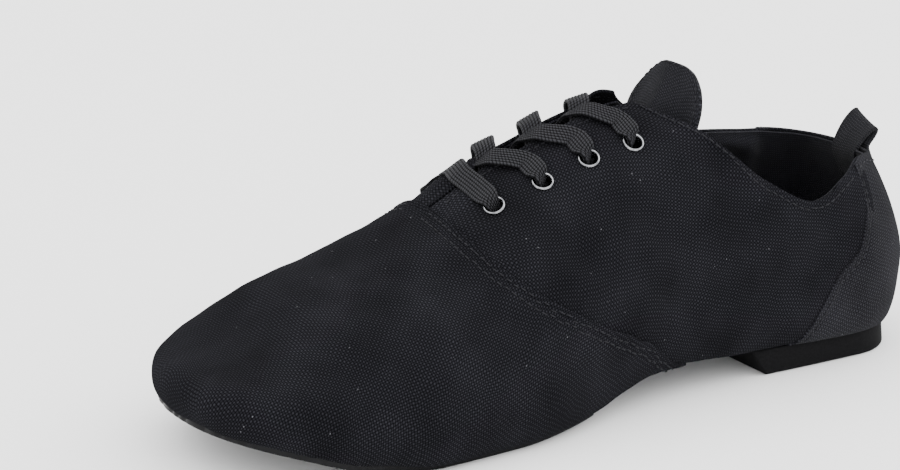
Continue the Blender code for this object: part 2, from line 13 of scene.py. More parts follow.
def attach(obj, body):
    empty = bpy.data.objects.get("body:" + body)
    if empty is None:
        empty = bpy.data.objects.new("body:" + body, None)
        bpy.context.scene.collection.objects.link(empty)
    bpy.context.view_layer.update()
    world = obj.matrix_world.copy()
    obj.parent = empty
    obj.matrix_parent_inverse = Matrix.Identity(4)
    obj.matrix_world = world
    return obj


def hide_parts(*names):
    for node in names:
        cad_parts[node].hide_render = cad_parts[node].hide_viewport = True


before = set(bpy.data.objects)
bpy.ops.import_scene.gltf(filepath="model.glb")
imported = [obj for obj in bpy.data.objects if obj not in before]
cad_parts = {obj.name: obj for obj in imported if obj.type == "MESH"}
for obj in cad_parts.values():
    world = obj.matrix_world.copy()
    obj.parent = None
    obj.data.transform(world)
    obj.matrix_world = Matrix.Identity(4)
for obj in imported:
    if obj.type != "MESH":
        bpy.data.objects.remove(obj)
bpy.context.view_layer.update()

bl_info = {
    "name": "Jazz Shoe",
    "version": (1, 0, 0),
    "blender": (4, 5, 0),
    "location": "View3D > Sidebar > Shoe",
    "description": "Canvas, laces, eyelets, stitches and soles of a left jazz shoe",
    "category": "Add Mesh",
}

# Sizes of the last, in metres
LENGTH = 0.262
BALL_WIDTH = 0.0953
HEEL_WIDTH = 0.0675
INSTEP_HEIGHT = 0.0753
BELLY_HEIGHT = 0.014
ARCH_HEIGHT = 0.011
TOE_SPRING = 0.016
COLLAR_HEIGHT = 0.0618
TUCK = 0.004

# Canvas and lining
WALL = 0.0016
CANVAS = 0.0009
LINING = 0.0006
VAMP_STEP = 0.0010
COUNTER_STEP = 0.0006
OVERLAP = 0.005
LASTING_MARGIN = 0.008
THROAT_GAP = 0.011
NOTCH_LENGTH = 0.004
COLLAR_LEAN = 0.0045
HEEL_PINCH = 0.09
FOLD_DEPTH = 1.4
TOE_CENTRE = 0.075
PLEAT_TURN = 0.11

# Stitches: the distances of their rows from each edge, and how far outside a row is aimed from
VAMP_ROWS = (0.0022, 0.0044)
COUNTER_ROW = 0.0024
HEM_ROW = 0.0031
STAND_OFF = 0.0022
STITCH_PITCH = 0.0028
STITCH_LENGTH = 0.0021
THREAD = 0.00028
STITCH_RISE = 0.00010

# Soles, heel and insole
FOREFOOT_SOLE = 0.0022
SOLE_INSET = 0.0004
TOE_LIP = 0.0028
HEEL_HEIGHT = 0.0086
HEEL_LENGTH = 0.070
BREAST_SLANT = 0.006
INSOLE = 0.0025
INSOLE_INSET = 0.0018
INSOLE_ROOM = 0.0007

# Tongue, eyelets, lace and pull loop
TONGUE = 0.0018
TONGUE_WIDTH = 0.058
TONGUE_FREE = 0.0200
TONGUE_ANGLE = math.radians(68)
TONGUE_FLARE = 0.004
TONGUE_REACH = 0.28
TONGUE_CURL = 0.009
EYELET_PITCH = 0.0160
EYELET_MARGIN = 0.0168
EYELET_HOLE = 0.0029
LACE_ROOM = 0.0008
LACE_WIDTH = 0.0078
LACE = 0.0013
ON_CANVAS = 0.0004 + LACE / 2
UNDER_CANVAS = -(WALL + 0.0006 + LACE / 2)
ON_RING = 0.0006 + LACE / 2
LACE_RIBS = 7
LOOP_WIDTH = 0.0125
LOOP_TAPE = 0.0012
LOOP_RISE = 0.0078
LOOP_ROOM = 0.0012
LOOP_LEGS = (0.010, 0.0065)
LOOP_CROWN = 0.0015
LOOP_BULGE = 0.75
LOOP_PLACE = 0.0015
LOOP_LEAN = 0.0055
LOOP_TILT = 0.36
GAP = 0.0003
WELD = 0.00001

# Places along the last, as shares of LENGTH from the back of the heel to the tip of the toe
ROUND_TOE = 0.875
ROUND_HEEL = 0.11
END_POWER = 2.2
FAN_START = 0.80
FAN_END = 0.95
THROAT = 0.635
FIRST_EYELET = 0.587
EYELETS = 4
SOLE_REAR = 0.52

# Sections of the last, a row for each share of its length
LAST_COLUMNS = ("share", "outer", "inner", "rear", "centre", "heel", "arch", "tread", "spring",
                "belly", "ridge", "lean", "full")
LAST_ROWS = (
    (0.00, 0.000, 0.000, 0.500, 0.000, 1.00, 0.00, 0.00, 0.00, 1.50, 0.951, 0.000, 2.25),
    (0.08, 0.000, 0.000, 0.500, 0.000, 1.00, 0.00, 0.00, 0.00, 1.50, 0.951, 0.000, 2.25),
    (0.18, 0.000, 0.000, 0.500, 0.000, 1.00, 0.00, 0.00, 0.00, 1.40, 0.934, 0.000, 2.35),
    (0.30, 0.100, 0.100, 0.352, 0.000, 0.45, 0.52, 0.00, 0.00, 1.20, 1.046, -0.056, 2.18),
    (0.42, 0.280, 0.262, 0.130, 0.000, 0.00, 1.00, 0.00, 0.00, 1.14, 1.000, -0.098, 1.83),
    (0.54, 0.438, 0.420, 0.000, -0.003, 0.00, 0.20, 0.85, 0.00, 1.00, 0.944, -0.140, 1.83),
    (0.64, 0.495, 0.490, 0.000, -0.013, 0.00, 0.00, 1.00, 0.00, 0.86, 0.769, -0.168, 1.94),
    (0.74, 0.505, 0.505, 0.000, -0.010, 0.00, 0.00, 1.00, 0.00, 0.79, 0.632, -0.180, 2.05),
    (0.84, 0.460, 0.480, 0.000, -0.001, 0.00, 0.00, 0.90, 0.23, 0.62, 0.493, -0.168, 2.05),
    (0.93, 0.402, 0.442, 0.000, 0.009, 0.00, 0.00, 0.60, 0.69, 0.46, 0.209, -0.168, 2.15),
    (1.00, 0.363, 0.404, 0.000, 0.015, 0.00, 0.00, 0.30, 1.02, 0.40, 0.086, -0.168, 2.15),
)
COLLAR_COLUMNS = ("share", "outer", "inner")
COLLAR_ROWS = (
    (0.00, 1.000, 1.000),
    (0.06, 1.060, 1.020),
    (0.12, 0.985, 1.035),
    (0.18, 0.905, 1.065),
    (0.25, 1.045, 1.110),
    (0.32, 1.312, 1.280),
    (0.38, 1.440, 1.440),
)
THROAT_COLUMNS = ("share", "width")
THROAT_ROWS = (
    (0.34, 0.75),
    (0.40, 0.84),
    (0.47, 1.00),
    (0.53, 1.00),
    (0.60, 0.76),
    (0.66, 0.66),
)
SEAM_COLUMNS = ("level", "vamp", "counter")
SEAM_ROWS = (
    (-1.00, 0.370, 0.215),
    (-0.50, 0.410, 0.190),
    (0.00, 0.463, 0.158),
    (0.15, 0.515, 0.125),
    (0.30, 0.571, 0.110),
    (0.45, 0.607, 0.099),
    (0.60, 0.627, 0.090),
    (0.80, 0.635, 0.086),
    (1.00, 0.635, 0.093),
)
TONGUE_COLUMNS = ("place", "share", "half", "drop", "rise")
TONGUE_ROWS = (
    (0.00, 0.690, 0.50, 0.00, 0.00),
    (0.10, 0.655, 0.60, 0.15, 0.00),
    (0.20, 0.620, 0.70, 1.00, 0.00),
    (0.36, 0.550, 0.84, 1.00, 0.00),
    (0.50, 0.490, 0.94, 1.00, 0.00),
    (0.64, 0.430, 1.00, 1.00, 0.00),
    (0.73, 0.392, 1.00, 1.00, 0.00),
    (0.79, 0.365, 1.00, 1.80, 0.00),
    (0.84, 0.345, 0.98, 2.60, 0.05),
    (0.88, 0.338, 1.00, 2.60, 0.32),
    (0.93, 0.334, 0.94, 2.60, 0.62),
    (0.97, 0.332, 0.76, 2.60, 0.87),
    (0.99, 0.330, 0.52, 2.60, 0.97),
    (1.00, 0.330, 0.26, 2.60, 1.00),
)

# Soft troughs and ridges of the worn canvas: side, three places (share, level), width and depth in metres
QUARTER_FOLDS = (
    (1, (0.345, 0.70), (0.315, 0.50), (0.285, 0.22), 0.0070, -0.0011),
    (1, (0.300, 0.66), (0.265, 0.45), (0.245, 0.20), 0.0060, 0.0007),
    (1, (0.475, 0.50), (0.430, 0.40), (0.370, 0.33), 0.0050, -0.0009),
    (1, (0.500, 0.40), (0.440, 0.28), (0.370, 0.20), 0.0050, 0.0006),
    (1, (0.430, 0.16), (0.370, 0.06), (0.300, 0.02), 0.0045, -0.0008),
    (1, (0.390, 0.00), (0.330, -0.30), (0.260, -0.40), 0.0040, 0.0006),
    (1, (0.200, 0.45), (0.170, 0.30), (0.150, 0.05), 0.0050, -0.0006),
    (-1, (0.350, 0.66), (0.310, 0.46), (0.290, 0.24), 0.0070, -0.0010),
    (-1, (0.470, 0.48), (0.420, 0.36), (0.360, 0.28), 0.0055, -0.0009),
    (-1, (0.430, 0.14), (0.360, 0.08), (0.290, 0.05), 0.0050, 0.0007),
    (-1, (0.210, 0.42), (0.175, 0.28), (0.160, 0.04), 0.0050, -0.0006),
)
VAMP_FOLDS = (
    (1, (0.690, 0.80), (0.680, 0.50), (0.640, 0.28), 0.0080, -0.0007),
    (1, (0.760, 0.72), (0.740, 0.40), (0.700, 0.15), 0.0100, 0.0006),
    (1, (0.600, 0.10), (0.540, -0.10), (0.480, -0.30), 0.0060, -0.0007),
    (1, (0.880, 0.60), (0.860, 0.35), (0.830, 0.10), 0.0070, -0.0005),
    (-1, (0.700, 0.84), (0.680, 0.52), (0.650, 0.30), 0.0080, -0.0007),
    (-1, (0.780, 0.60), (0.760, 0.35), (0.720, 0.12), 0.0090, 0.0005),
    (-1, (0.590, 0.12), (0.530, -0.10), (0.470, -0.25), 0.0060, -0.0006),
)
COUNTER_FOLDS = (
    (1, (0.070, 0.52), (0.075, 0.34), (0.070, 0.10), 0.0045, -0.0007),
    (1, (0.030, 0.45), (0.035, 0.25), (0.030, 0.02), 0.0050, 0.0004),
    (-1, (0.060, 0.50), (0.065, 0.30), (0.060, 0.10), 0.0050, -0.0006),
)
LINING_FOLDS = (
    (1, (0.260, 0.44), (0.210, 0.30), (0.180, 0.08), 0.0040, -0.0012),
    (1, (0.140, 0.44), (0.120, 0.28), (0.130, 0.05), 0.0035, -0.0011),
    (-1, (0.280, 0.50), (0.230, 0.32), (0.160, 0.18), 0.0040, -0.0014),
    (-1, (0.200, 0.52), (0.140, 0.40), (0.080, 0.30), 0.0035, -0.0012),
    (-1, (0.110, 0.50), (0.100, 0.26), (0.120, 0.05), 0.0035, -0.0011),
    (-1, (0.360, 0.40), (0.290, 0.16), (0.220, 0.06), 0.0040, -0.0012),
)


# The last


def unit(vectors):
    """The same vectors with length 1."""
    return vectors / np.linalg.norm(vectors, axis=-1, keepdims=True)


def lengths(points):
    """Distance along a line of points to each of them."""
    return np.concatenate(([0.0], np.cumsum(np.linalg.norm(np.diff(points, axis=0), axis=1))))


def bell(distance, width):
    """Smooth swell of height 1 around a line."""
    return np.exp(-((distance / width) ** 2))


def tangents(keys, values):
    """Slopes at the keys of a smooth curve that never overshoots."""
    slopes = np.diff(values) / np.diff(keys)
    before, after = slopes[:-1], slopes[1:]
    same = before * after > 0
    total = np.where(same, before + after, 1.0)
    middle = np.where(same, 2 * before * after / total, 0.0)
    return np.concatenate((slopes[:1], middle, slopes[-1:]))


def along(keys, values, at, slopes=None):
    """Smooth curve through the keys."""
    slopes = tangents(keys, values) if slopes is None else slopes
    at = np.minimum(np.maximum(at, keys[0]), keys[-1])
    cell = np.minimum(np.searchsorted(keys, at, side="right") - 1, len(keys) - 2)
    step = keys[cell + 1] - keys[cell]
    t = (at - keys[cell]) / step
    u = 1 - t
    return (u * u * ((1 + 2 * t) * values[cell] + t * step * slopes[cell])
            + t * t * ((3 - 2 * t) * values[cell + 1] - u * step * slopes[cell + 1]))


def table(columns, rows):
    """A function that reads one named column of a table at any key."""
    data = dict(zip(columns, np.array(rows).T))
    keys = data[columns[0]]
    slopes = {name: tangents(keys, data[name]) for name in columns[1:]}
    return lambda column, at: along(keys, data[column], at, slopes[column])


last = table(LAST_COLUMNS, LAST_ROWS)
collar = table(COLLAR_COLUMNS, COLLAR_ROWS)
throat = table(THROAT_COLUMNS, THROAT_ROWS)
seam = table(SEAM_COLUMNS, SEAM_ROWS)
tongue = table(TONGUE_COLUMNS, TONGUE_ROWS)


def underside(share):
    """Height of the upper's underside over the floor."""
    return (last("heel", share) * (HEEL_HEIGHT + GAP) + last("arch", share) * ARCH_HEIGHT
            + last("tread", share) * (FOREFOOT_SOLE + GAP) + last("spring", share) * TOE_SPRING)


def ridge_height(share):
    """Height of the ridge over the floor."""
    return underside(share) + last("ridge", share) * INSTEP_HEIGHT


def fan(share):
    """Share on the centre line that a section springs from. All sections of a round end share one."""
    reach = FAN_END - FAN_START
    toe = np.clip((share - FAN_START) / reach, 0, 1)
    heel = np.clip((1 - FAN_START - share) / reach, 0, 1)
    middle = np.clip(share, 1 - FAN_START, FAN_START)
    return middle + reach * (toe - toe**2 / 2) - reach * (heel - heel**2 / 2)


def widest(side, share):
    """Plan place of the widest line: side +1 is the outer side and -1 the inner one."""
    share = np.asarray(share, float)
    ball = last("outer" if side > 0 else "inner", share) * BALL_WIDTH
    toe = np.clip((share - ROUND_TOE) / (1 - ROUND_TOE), 0, 1)
    heel = np.clip((ROUND_HEEL - share) / ROUND_HEEL, 0, 1)
    ends = (1 - toe**END_POWER) ** (1 / END_POWER) * (1 - heel**END_POWER) ** (1 / END_POWER)
    across = last("centre", share) * BALL_WIDTH + side * (ball + last("rear", share) * HEEL_WIDTH) * ends
    return np.stack((across, LENGTH * (0.5 - share)), -1)


def spine(share):
    """Plan place on the centre line of the underside that a section springs from."""
    middle = fan(share)
    return np.stack((last("centre", middle) * BALL_WIDTH, LENGTH * (0.5 - middle)), -1)


def sole_point(side, share, inset=0.0, part=0.0):
    """Point of the underside: inset inwards from its edge, then part of the way to the centre line."""
    wide = widest(side, share)
    middle = spine(share)
    edge = wide + unit(middle - wide) * (TUCK + np.asarray(inset))[..., None]
    plan = edge + (middle - edge) * np.asarray(part)[..., None]
    height = underside(0.5 - plan[..., 1] / LENGTH)
    return np.concatenate((plan, height[..., None]), -1)


def skin(side, share, level):
    """Point on the last: level 1 is the ridge, 0 the widest line and -1 the edge of the sole."""
    share, level = np.broadcast_arrays(np.asarray(share, float), np.asarray(level, float))
    over = np.clip(level, 0, 1) * math.pi / 2
    under = np.clip(-level, 0, 1) * math.pi / 2
    middle = fan(share)
    power = 2 / last("full", share)
    flat = np.cos(over) ** power
    rise = np.sin(over) ** power
    wide = widest(side, share)
    ridge = np.stack((last("lean", middle) * BALL_WIDTH, LENGTH * (0.5 - middle)), -1)
    plan = ridge + (wide - ridge) * flat[..., None]
    top = ridge_height(middle)
    belly = underside(share) + last("belly", share) * BELLY_HEIGHT
    step = 0.002
    ahead = np.clip(middle + step, 0, 1)
    behind = np.clip(middle - step, 0, 1)
    slope = (ridge_height(ahead) - ridge_height(behind)) / ((ahead - behind) * LENGTH)
    forward = ridge[..., 1] - plan[..., 1]
    height = belly + (top - belly) * rise + slope * forward * (1 - flat)
    edge = sole_point(side, share)
    tuck = 1 - np.cos(under)
    plan = plan + (edge[..., :2] - wide) * tuck[..., None]
    height = height + (edge[..., 2] - belly) * np.sin(under)
    return np.concatenate((plan, height[..., None]), -1)


def outward(side, share, level):
    """Unit normal of the last, away from the foot."""
    small = 0.002
    fore = skin(side, share + small, level) - skin(side, share - small, level)
    down = skin(side, share, level - small) - skin(side, share, level + small)
    return unit(np.cross(fore, down) * side)


SWEEP = np.linspace(1, 0, 161)


@lru_cache(maxsize=None)
def arc_down(side, share):
    """Distances along the surface from the ridge to each level of the sweep."""
    return lengths(skin(side, share, SWEEP))


def level_at_arc(side, share, distance):
    """Level that lies a distance along the surface down from the ridge."""
    return np.interp(distance, arc_down(side, float(share)), SWEEP)


def level_at_height(side, share, height):
    """Level at which one section reaches a height over the floor."""
    return float(np.interp(-height, -skin(side, share, SWEEP)[:, 2], SWEEP))


def half_throat(share):
    """Distance of a facing's edge from the ridge, rounded off where the throat ends in the vamp."""
    past = min(max((share - THROAT) * LENGTH / NOTCH_LENGTH, 0.0), 1.0)
    return float(throat("width", share)) * THROAT_GAP / 2 * math.sqrt(1 - past**2)


def upper_edge(side, share):
    """Level of the wall's free edge: the ridge on the vamp, then the facing, then the collar."""
    facing = level_at_arc(side, share, half_throat(share))
    if share > COLLAR_ROWS[-1][0]:
        return facing
    height = float(collar("outer" if side > 0 else "inner", share)) * COLLAR_HEIGHT
    return min(facing, level_at_height(side, share, height))


def over(share, across, height):
    """Point over the instep: across is measured along the surface from the ridge, + to the outer side."""
    return over_line(share, np.array([float(across)]), np.array([float(height)]))[0]


def over_line(share, across, height):
    """Points over the instep on one section, for arrays of places across and heights."""
    points = np.empty((len(across), 3))
    for side in (1, -1):
        chosen = (across >= 0) if side > 0 else (across < 0)
        if chosen.any():
            level = level_at_arc(side, share, np.abs(across[chosen]))
            points[chosen] = skin(side, share, level) + outward(side, share, level) * height[chosen, None]
    return points


def ease(value):
    """Smooth step from 0 to 1."""
    value = np.clip(value, 0.0, 1.0)
    return value * value * (3 - 2 * value)


def wall(side, share, depth, top):
    """Point on a panel's run: depth 0 is its free edge, 1 the widest line, 2 the sole's edge, 3 under it."""
    share, depth, top = np.broadcast_arrays(share, depth, top)
    level = np.where(depth < 1, (1 - np.clip(depth, 0, 1) ** 1.25) * top, -np.clip(depth - 1, 0, 1))
    points = skin(side, share, level)
    under = sole_point(side, share, np.clip(depth - 2, 0, 1) * LASTING_MARGIN)
    return np.where((depth > 2)[..., None], under, points)


def seam_level(depth):
    """Level by which the seam tables are read at a depth of a panel."""
    return np.where(depth < 1, 1 - np.clip(depth, 0, 1) ** 1.25, -np.clip(depth - 1, 0, 1))


# Distances to lines on the shoe, for folds, puckers and hems


def nearest(points, line):
    """Distance from each point to a line of points, and how far along the line the nearest place is."""
    flat = points.reshape(-1, 3)
    line = np.asarray(line)
    starts = lengths(line)
    best = np.full(len(flat), 1.0)
    place = np.zeros(len(flat))
    for k, step in enumerate(np.diff(starts)):
        if step < 1e-7:
            continue
        run = (line[k + 1] - line[k]) / step
        t = np.clip((flat - line[k]) @ run, 0, step)
        gap = np.linalg.norm(flat - line[k] - t[:, None] * run, axis=1)
        closer = gap < best
        best[closer] = gap[closer]
        place[closer] = starts[k] + t[closer]
    shape = points.shape[:-1]
    return best.reshape(shape), place.reshape(shape), starts[-1]


def folds(points, rows, side=0):
    """Height of the listed folds at each point of a panel."""
    total = np.zeros(points.shape[:-1])
    for fold_side, a, b, c, width, depth in rows:
        if side and fold_side != side:
            continue
        t = np.linspace(0, 1, 9)[:, None]
        places = np.array(a) * (1 - t) ** 2 + np.array(b) * 2 * t * (1 - t) + np.array(c) * t**2
        line = skin(fold_side, places[:, 0], places[:, 1])
        gap, place, length = nearest(points, line)
        fade = np.sin(math.pi * np.clip(place / length, 0.06, 0.94)) ** 0.7
        total += FOLD_DEPTH * depth * fade * bell(gap, width)
    return total


def unevenness(points, height):
    """Slow hand-made unevenness of stuffed canvas, a few millimetres wide."""
    x, y, z = points[..., 0] * 1000, points[..., 1] * 1000, points[..., 2] * 1000
    waves = (np.sin(0.21 * x + 0.13 * y + 1.1) + np.sin(0.17 * y - 0.24 * z + 0.4)
             + np.sin(0.29 * x - 0.11 * y + 0.23 * z + 2.0) + 0.6 * np.sin(0.43 * y + 0.37 * z))
    return height * waves / 3.6


def pleats(x, y):
    """Uneven pleats around the toe, each from 0 in its groove to 1 on its crown."""
    turn = np.arctan2(x, -y - TOE_CENTRE) / PLEAT_TURN
    return np.abs(np.sin(math.pi * (turn + 0.35 * np.sin(1.7 * turn)))) ** 0.7


def toe_pleats(side, share, depth):
    """Small pleats where the canvas is drawn round the toe onto the sole."""
    around = widest(side, share)
    window = ease((share - 0.84) / 0.05) * ease((depth - 1.45) / 0.5) * ease((3.2 - depth) / 0.6)
    return -0.0007 * window * (1 - pleats(around[..., 0], around[..., 1]))


def calm(side, points):
    """0 at the eyelets and 1 away from them, so that the canvas lies flat under each flange."""
    quiet = np.ones(points.shape[:-1])
    for number in range(EYELETS):
        centre = np.array(eyelet_frame(side, number).translation)
        quiet = quiet * ease((np.linalg.norm(points - centre, axis=-1) - 0.0042) / 0.0060)
    return quiet


# Tools for making pieces


def select(*objects):
    """Select these objects alone and make the first one active."""
    bpy.ops.object.select_all(action="DESELECT")
    for piece in objects:
        piece.select_set(True)
    bpy.context.view_layer.objects.active = objects[0]


def edit(piece, *steps):
    """Run edit-mode steps on all of a piece."""
    select(piece)
    bpy.ops.object.mode_set(mode="EDIT")
    bpy.ops.mesh.select_all(action="SELECT")
    for step in steps:
        step()
    bpy.ops.object.mode_set(mode="OBJECT")


def modify(piece, kind, **settings):
    """Add a modifier with its settings and apply it."""
    select(piece)
    bpy.ops.object.modifier_add(type=kind)
    modifier = piece.modifiers[-1]
    for key, value in settings.items():
        setattr(modifier, key, value)
    bpy.ops.object.modifier_apply(modifier=modifier.name)


def coordinates(piece, key="co"):
    """All the vertices' places, or their normals, as an array."""
    values = np.empty(len(piece.data.vertices) * 3)
    piece.data.vertices.foreach_get(key, values)
    return values.reshape(-1, 3)


def place_vertices(piece, points):
    piece.data.vertices.foreach_set("co", np.asarray(points, float).reshape(-1))
    piece.data.update()


def lean(points):
    """Draw the back of the collar in over the heel: forwards and narrower towards its top."""
    points = np.asarray(points, float)
    amount = ease((points[..., 1] - 0.080) / 0.045) * ease((points[..., 2] - 0.030) / 0.032)
    return points - np.stack((HEEL_PINCH * points[..., 0], np.full(amount.shape, COLLAR_LEAN),
                              np.zeros(amount.shape)), -1) * amount[..., None]


def sheet(name, points, weave):
    """Mesh of a grid of points. weave is each point's place on the cloth in millimetres, its UV map."""
    rows, columns = points.shape[:2]
    bpy.ops.object.select_all(action="DESELECT")
    bpy.ops.mesh.primitive_grid_add(x_subdivisions=columns - 1, y_subdivisions=rows - 1, size=1)
    piece = bpy.context.object
    piece.name = piece.data.name = name
    place_vertices(piece, points)
    layer = piece.data.uv_layers.active or piece.data.uv_layers.new(name="Weave")
    layer.name = "Weave"
    corners = np.empty(len(piece.data.loops), int)
    piece.data.loops.foreach_get("vertex_index", corners)
    layer.data.foreach_set("uv", weave.reshape(-1, 2)[corners].reshape(-1))
    return piece


def cloth(name, points, weave, relief=None, axis=(0.0, 0.035)):
    """Sheet that is welded at its poles, faced outwards and raised by its relief.

    axis is the x and z of the foot inside."""
    piece = sheet(name, points, weave)
    raised = piece.data.attributes.new("raised", "FLOAT", "POINT")
    if relief is not None:
        raised.data.foreach_set("value", np.asarray(relief, float).reshape(-1))
    edit(piece, lambda: bpy.ops.mesh.remove_doubles(threshold=WELD),
         lambda: bpy.ops.mesh.normals_make_consistent(inside=False))
    co = coordinates(piece)
    normals = coordinates(piece, "normal")
    away = co - np.stack((np.full(len(co), axis[0]), co[:, 1] * 0.8, np.full(len(co), axis[1])), 1)
    if (normals * away).sum() < 0:
        edit(piece, bpy.ops.mesh.flip_normals)
        normals = -normals
    heights = np.empty(len(co))
    raised = piece.data.attributes["raised"]
    raised.data.foreach_get("value", heights)
    piece.data.attributes.remove(raised)
    place_vertices(piece, lean(co + normals * heights[:, None]))
    return piece


def thicken(piece, thickness, edge=0.00025, offset=-1.0):
    """Give a sheet its thickness and roll its free edges over."""
    modify(piece, "SOLIDIFY", thickness=thickness, offset=offset, use_even_offset=False)
    if edge:
        round_edges(piece, edge, 2, 55)


def round_edges(piece, width, segments, angle):
    modify(piece, "BEVEL", width=width, segments=segments, limit_method="ANGLE",
           angle_limit=math.radians(angle))


def ready(piece, material, replaced=(), angle=50):
    """Smooth a finished piece and give it its material, its frame and the nodes it stands for."""
    select(piece)
    bpy.ops.object.shade_smooth_by_angle(angle=math.radians(angle))
    piece.data.materials.clear()
    piece.data.materials.append(finish(material))
    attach(piece, "root")
    if replaced:
        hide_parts(*replaced)
    return piece


ARC_SHARES = np.linspace(0.30, 1.0, 141)
ARC_LEVELS = np.linspace(1.0, -1.0, 121)
ARCS = {}


def vamp_weave(side, share, level, under):
    """Place on the vamp's cloth, laid flat from the ridge: under is the reach past the sole's edge."""
    if side not in ARCS:
        grid = skin(side, ARC_SHARES[:, None], ARC_LEVELS[None, :])
        steps = np.linalg.norm(np.diff(grid, axis=1), axis=-1)
        ARCS[side] = np.concatenate((np.zeros((len(grid), 1)), np.cumsum(steps, axis=1)), axis=1)
    i = np.clip((share - ARC_SHARES[0]) / (ARC_SHARES[1] - ARC_SHARES[0]), 0, len(ARC_SHARES) - 1.001)
    j = np.clip((1.0 - level) / (ARC_LEVELS[0] - ARC_LEVELS[1]), 0, len(ARC_LEVELS) - 1.001)
    i0, j0 = i.astype(int), j.astype(int)
    fi, fj = i - i0, j - j0
    arcs = ARCS[side]
    reach = ((arcs[i0, j0] * (1 - fi) + arcs[i0 + 1, j0] * fi) * (1 - fj)
             + (arcs[i0, j0 + 1] * (1 - fi) + arcs[i0 + 1, j0 + 1] * fi) * fj) + under
    ridge = skin(side, share, 1.0)[..., :2]
    return (ridge + unit(widest(side, share) - ridge) * reach[..., None]) * 1000


PERIMETER_SHARES = np.linspace(0, 1, 801)
PERIMETERS = {}


def side_weave(side, share, points):
    """Place on a quarter's or the counter's cloth: along the widest line, and up from it."""
    if side not in PERIMETERS:
        line = widest(side, PERIMETER_SHARES)
        PERIMETERS[side] = lengths(line)
    run = np.interp(share, PERIMETER_SHARES, PERIMETERS[side]) * side
    base = skin(side, share, 0.0)
    rise = np.linalg.norm(points - base, axis=-1) * np.sign(points[..., 2] - base[..., 2])
    return np.stack((run, rise), -1) * 1000


def eyelet_share(number):
    return FIRST_EYELET - number * EYELET_PITCH / LENGTH


def eyelet_across(number):
    """Distance of an eyelet from the ridge: the facing's edge and then its margin."""
    return half_throat(eyelet_share(number)) + EYELET_MARGIN


def eyelet_frame(side, number):
    """Matrix that stands z along the upper's normal at an eyelet."""
    share = eyelet_share(number)
    level = level_at_arc(side, share, eyelet_across(number))
    normal = Vector(outward(side, share, level))
    place = Vector(skin(side, share, level))
    return Matrix.Translation(place) @ normal.to_track_quat("Z", "Y").to_matrix().to_4x4()


def punch(piece, side):
    """Open the round eyelet holes in a sheet, before it gets its thickness."""
    frames = [eyelet_frame(side, number).inverted() for number in range(EYELETS)]

    def near(spot, reach):
        """Each eyelet's frame whose hole reaches a spot, with the place in it and its distance."""
        for place in frames:
            local = place @ spot
            far = math.hypot(local.x, local.y)
            if far < reach and abs(local.z) < 0.004:
                yield place, local, far

    edit(piece, lambda: bpy.ops.mesh.select_mode(type="FACE"),
         lambda: bpy.ops.mesh.select_all(action="DESELECT"))
    for face in piece.data.polygons:
        face.select = any(True for _ in near(face.center, EYELET_HOLE))
    bpy.ops.object.mode_set(mode="EDIT")
    bpy.ops.mesh.delete(type="FACE")
    bpy.ops.object.mode_set(mode="OBJECT")
    for vertex in piece.data.vertices:
        for place, local, far in near(vertex.co, EYELET_HOLE + 0.0001):
            scale = EYELET_HOLE / max(far, 1e-6)
            vertex.co = place.inverted() @ Vector((local.x * scale, local.y * scale, local.z))


# Materials


def linear(value):
    """Linear colour of an sRGB hex value."""
    parts = [int(value[k:k + 2], 16) / 255 for k in (1, 3, 5)]
    return tuple(p / 12.92 if p <= 0.04045 else ((p + 0.055) / 1.055) ** 2.4 for p in parts) + (1.0,)


def node(tree, kind, inputs=None, **settings):
    """Add a node with its settings; an input is a value or another node's output."""
    made = tree.nodes.new("ShaderNode" + kind)
    for key, value in settings.items():
        setattr(made, key, value)
    for key, value in (inputs or {}).items():
        if isinstance(value, bpy.types.NodeSocket):
            tree.links.new(value, made.inputs[key])
        else:
            made.inputs[key].default_value = value
    return made


def shader(name, **values):
    """A new Principled material with its even values on the shader's own sockets."""
    made = bpy.data.materials.new(name)
    made.use_nodes = True
    principled = made.node_tree.nodes["Principled BSDF"]
    for key, value in values.items():
        principled.inputs[key.replace("_", " ")].default_value = value
    return made, made.node_tree, principled


def calculator(tree):
    """A function that adds a Math node for an operation on some values and gives its output."""
    return lambda kind, *values: node(tree, "Math", dict(enumerate(values)), operation=kind).outputs[0]


def noise(tree, place, scale, detail, output="Fac"):
    return node(tree, "TexNoise", {"Vector": place, "Scale": scale, "Detail": detail}).outputs[output]


def ramp(tree, factor, low, colour, high, light):
    """Blend from a dark colour at a low factor to a light one at a high factor."""
    shade = node(tree, "ValToRGB", {"Fac": factor})
    for stop, place, value in zip(shade.color_ramp.elements, (low, high), (colour, light)):
        stop.position = place
        stop.color = linear(value)
    return shade.outputs["Color"]


def emboss(tree, principled, height, strength, distance):
    bump = node(tree, "Bump", {"Height": height, "Strength": strength, "Distance": distance}).outputs[0]
    tree.links.new(bump, principled.inputs["Normal"])


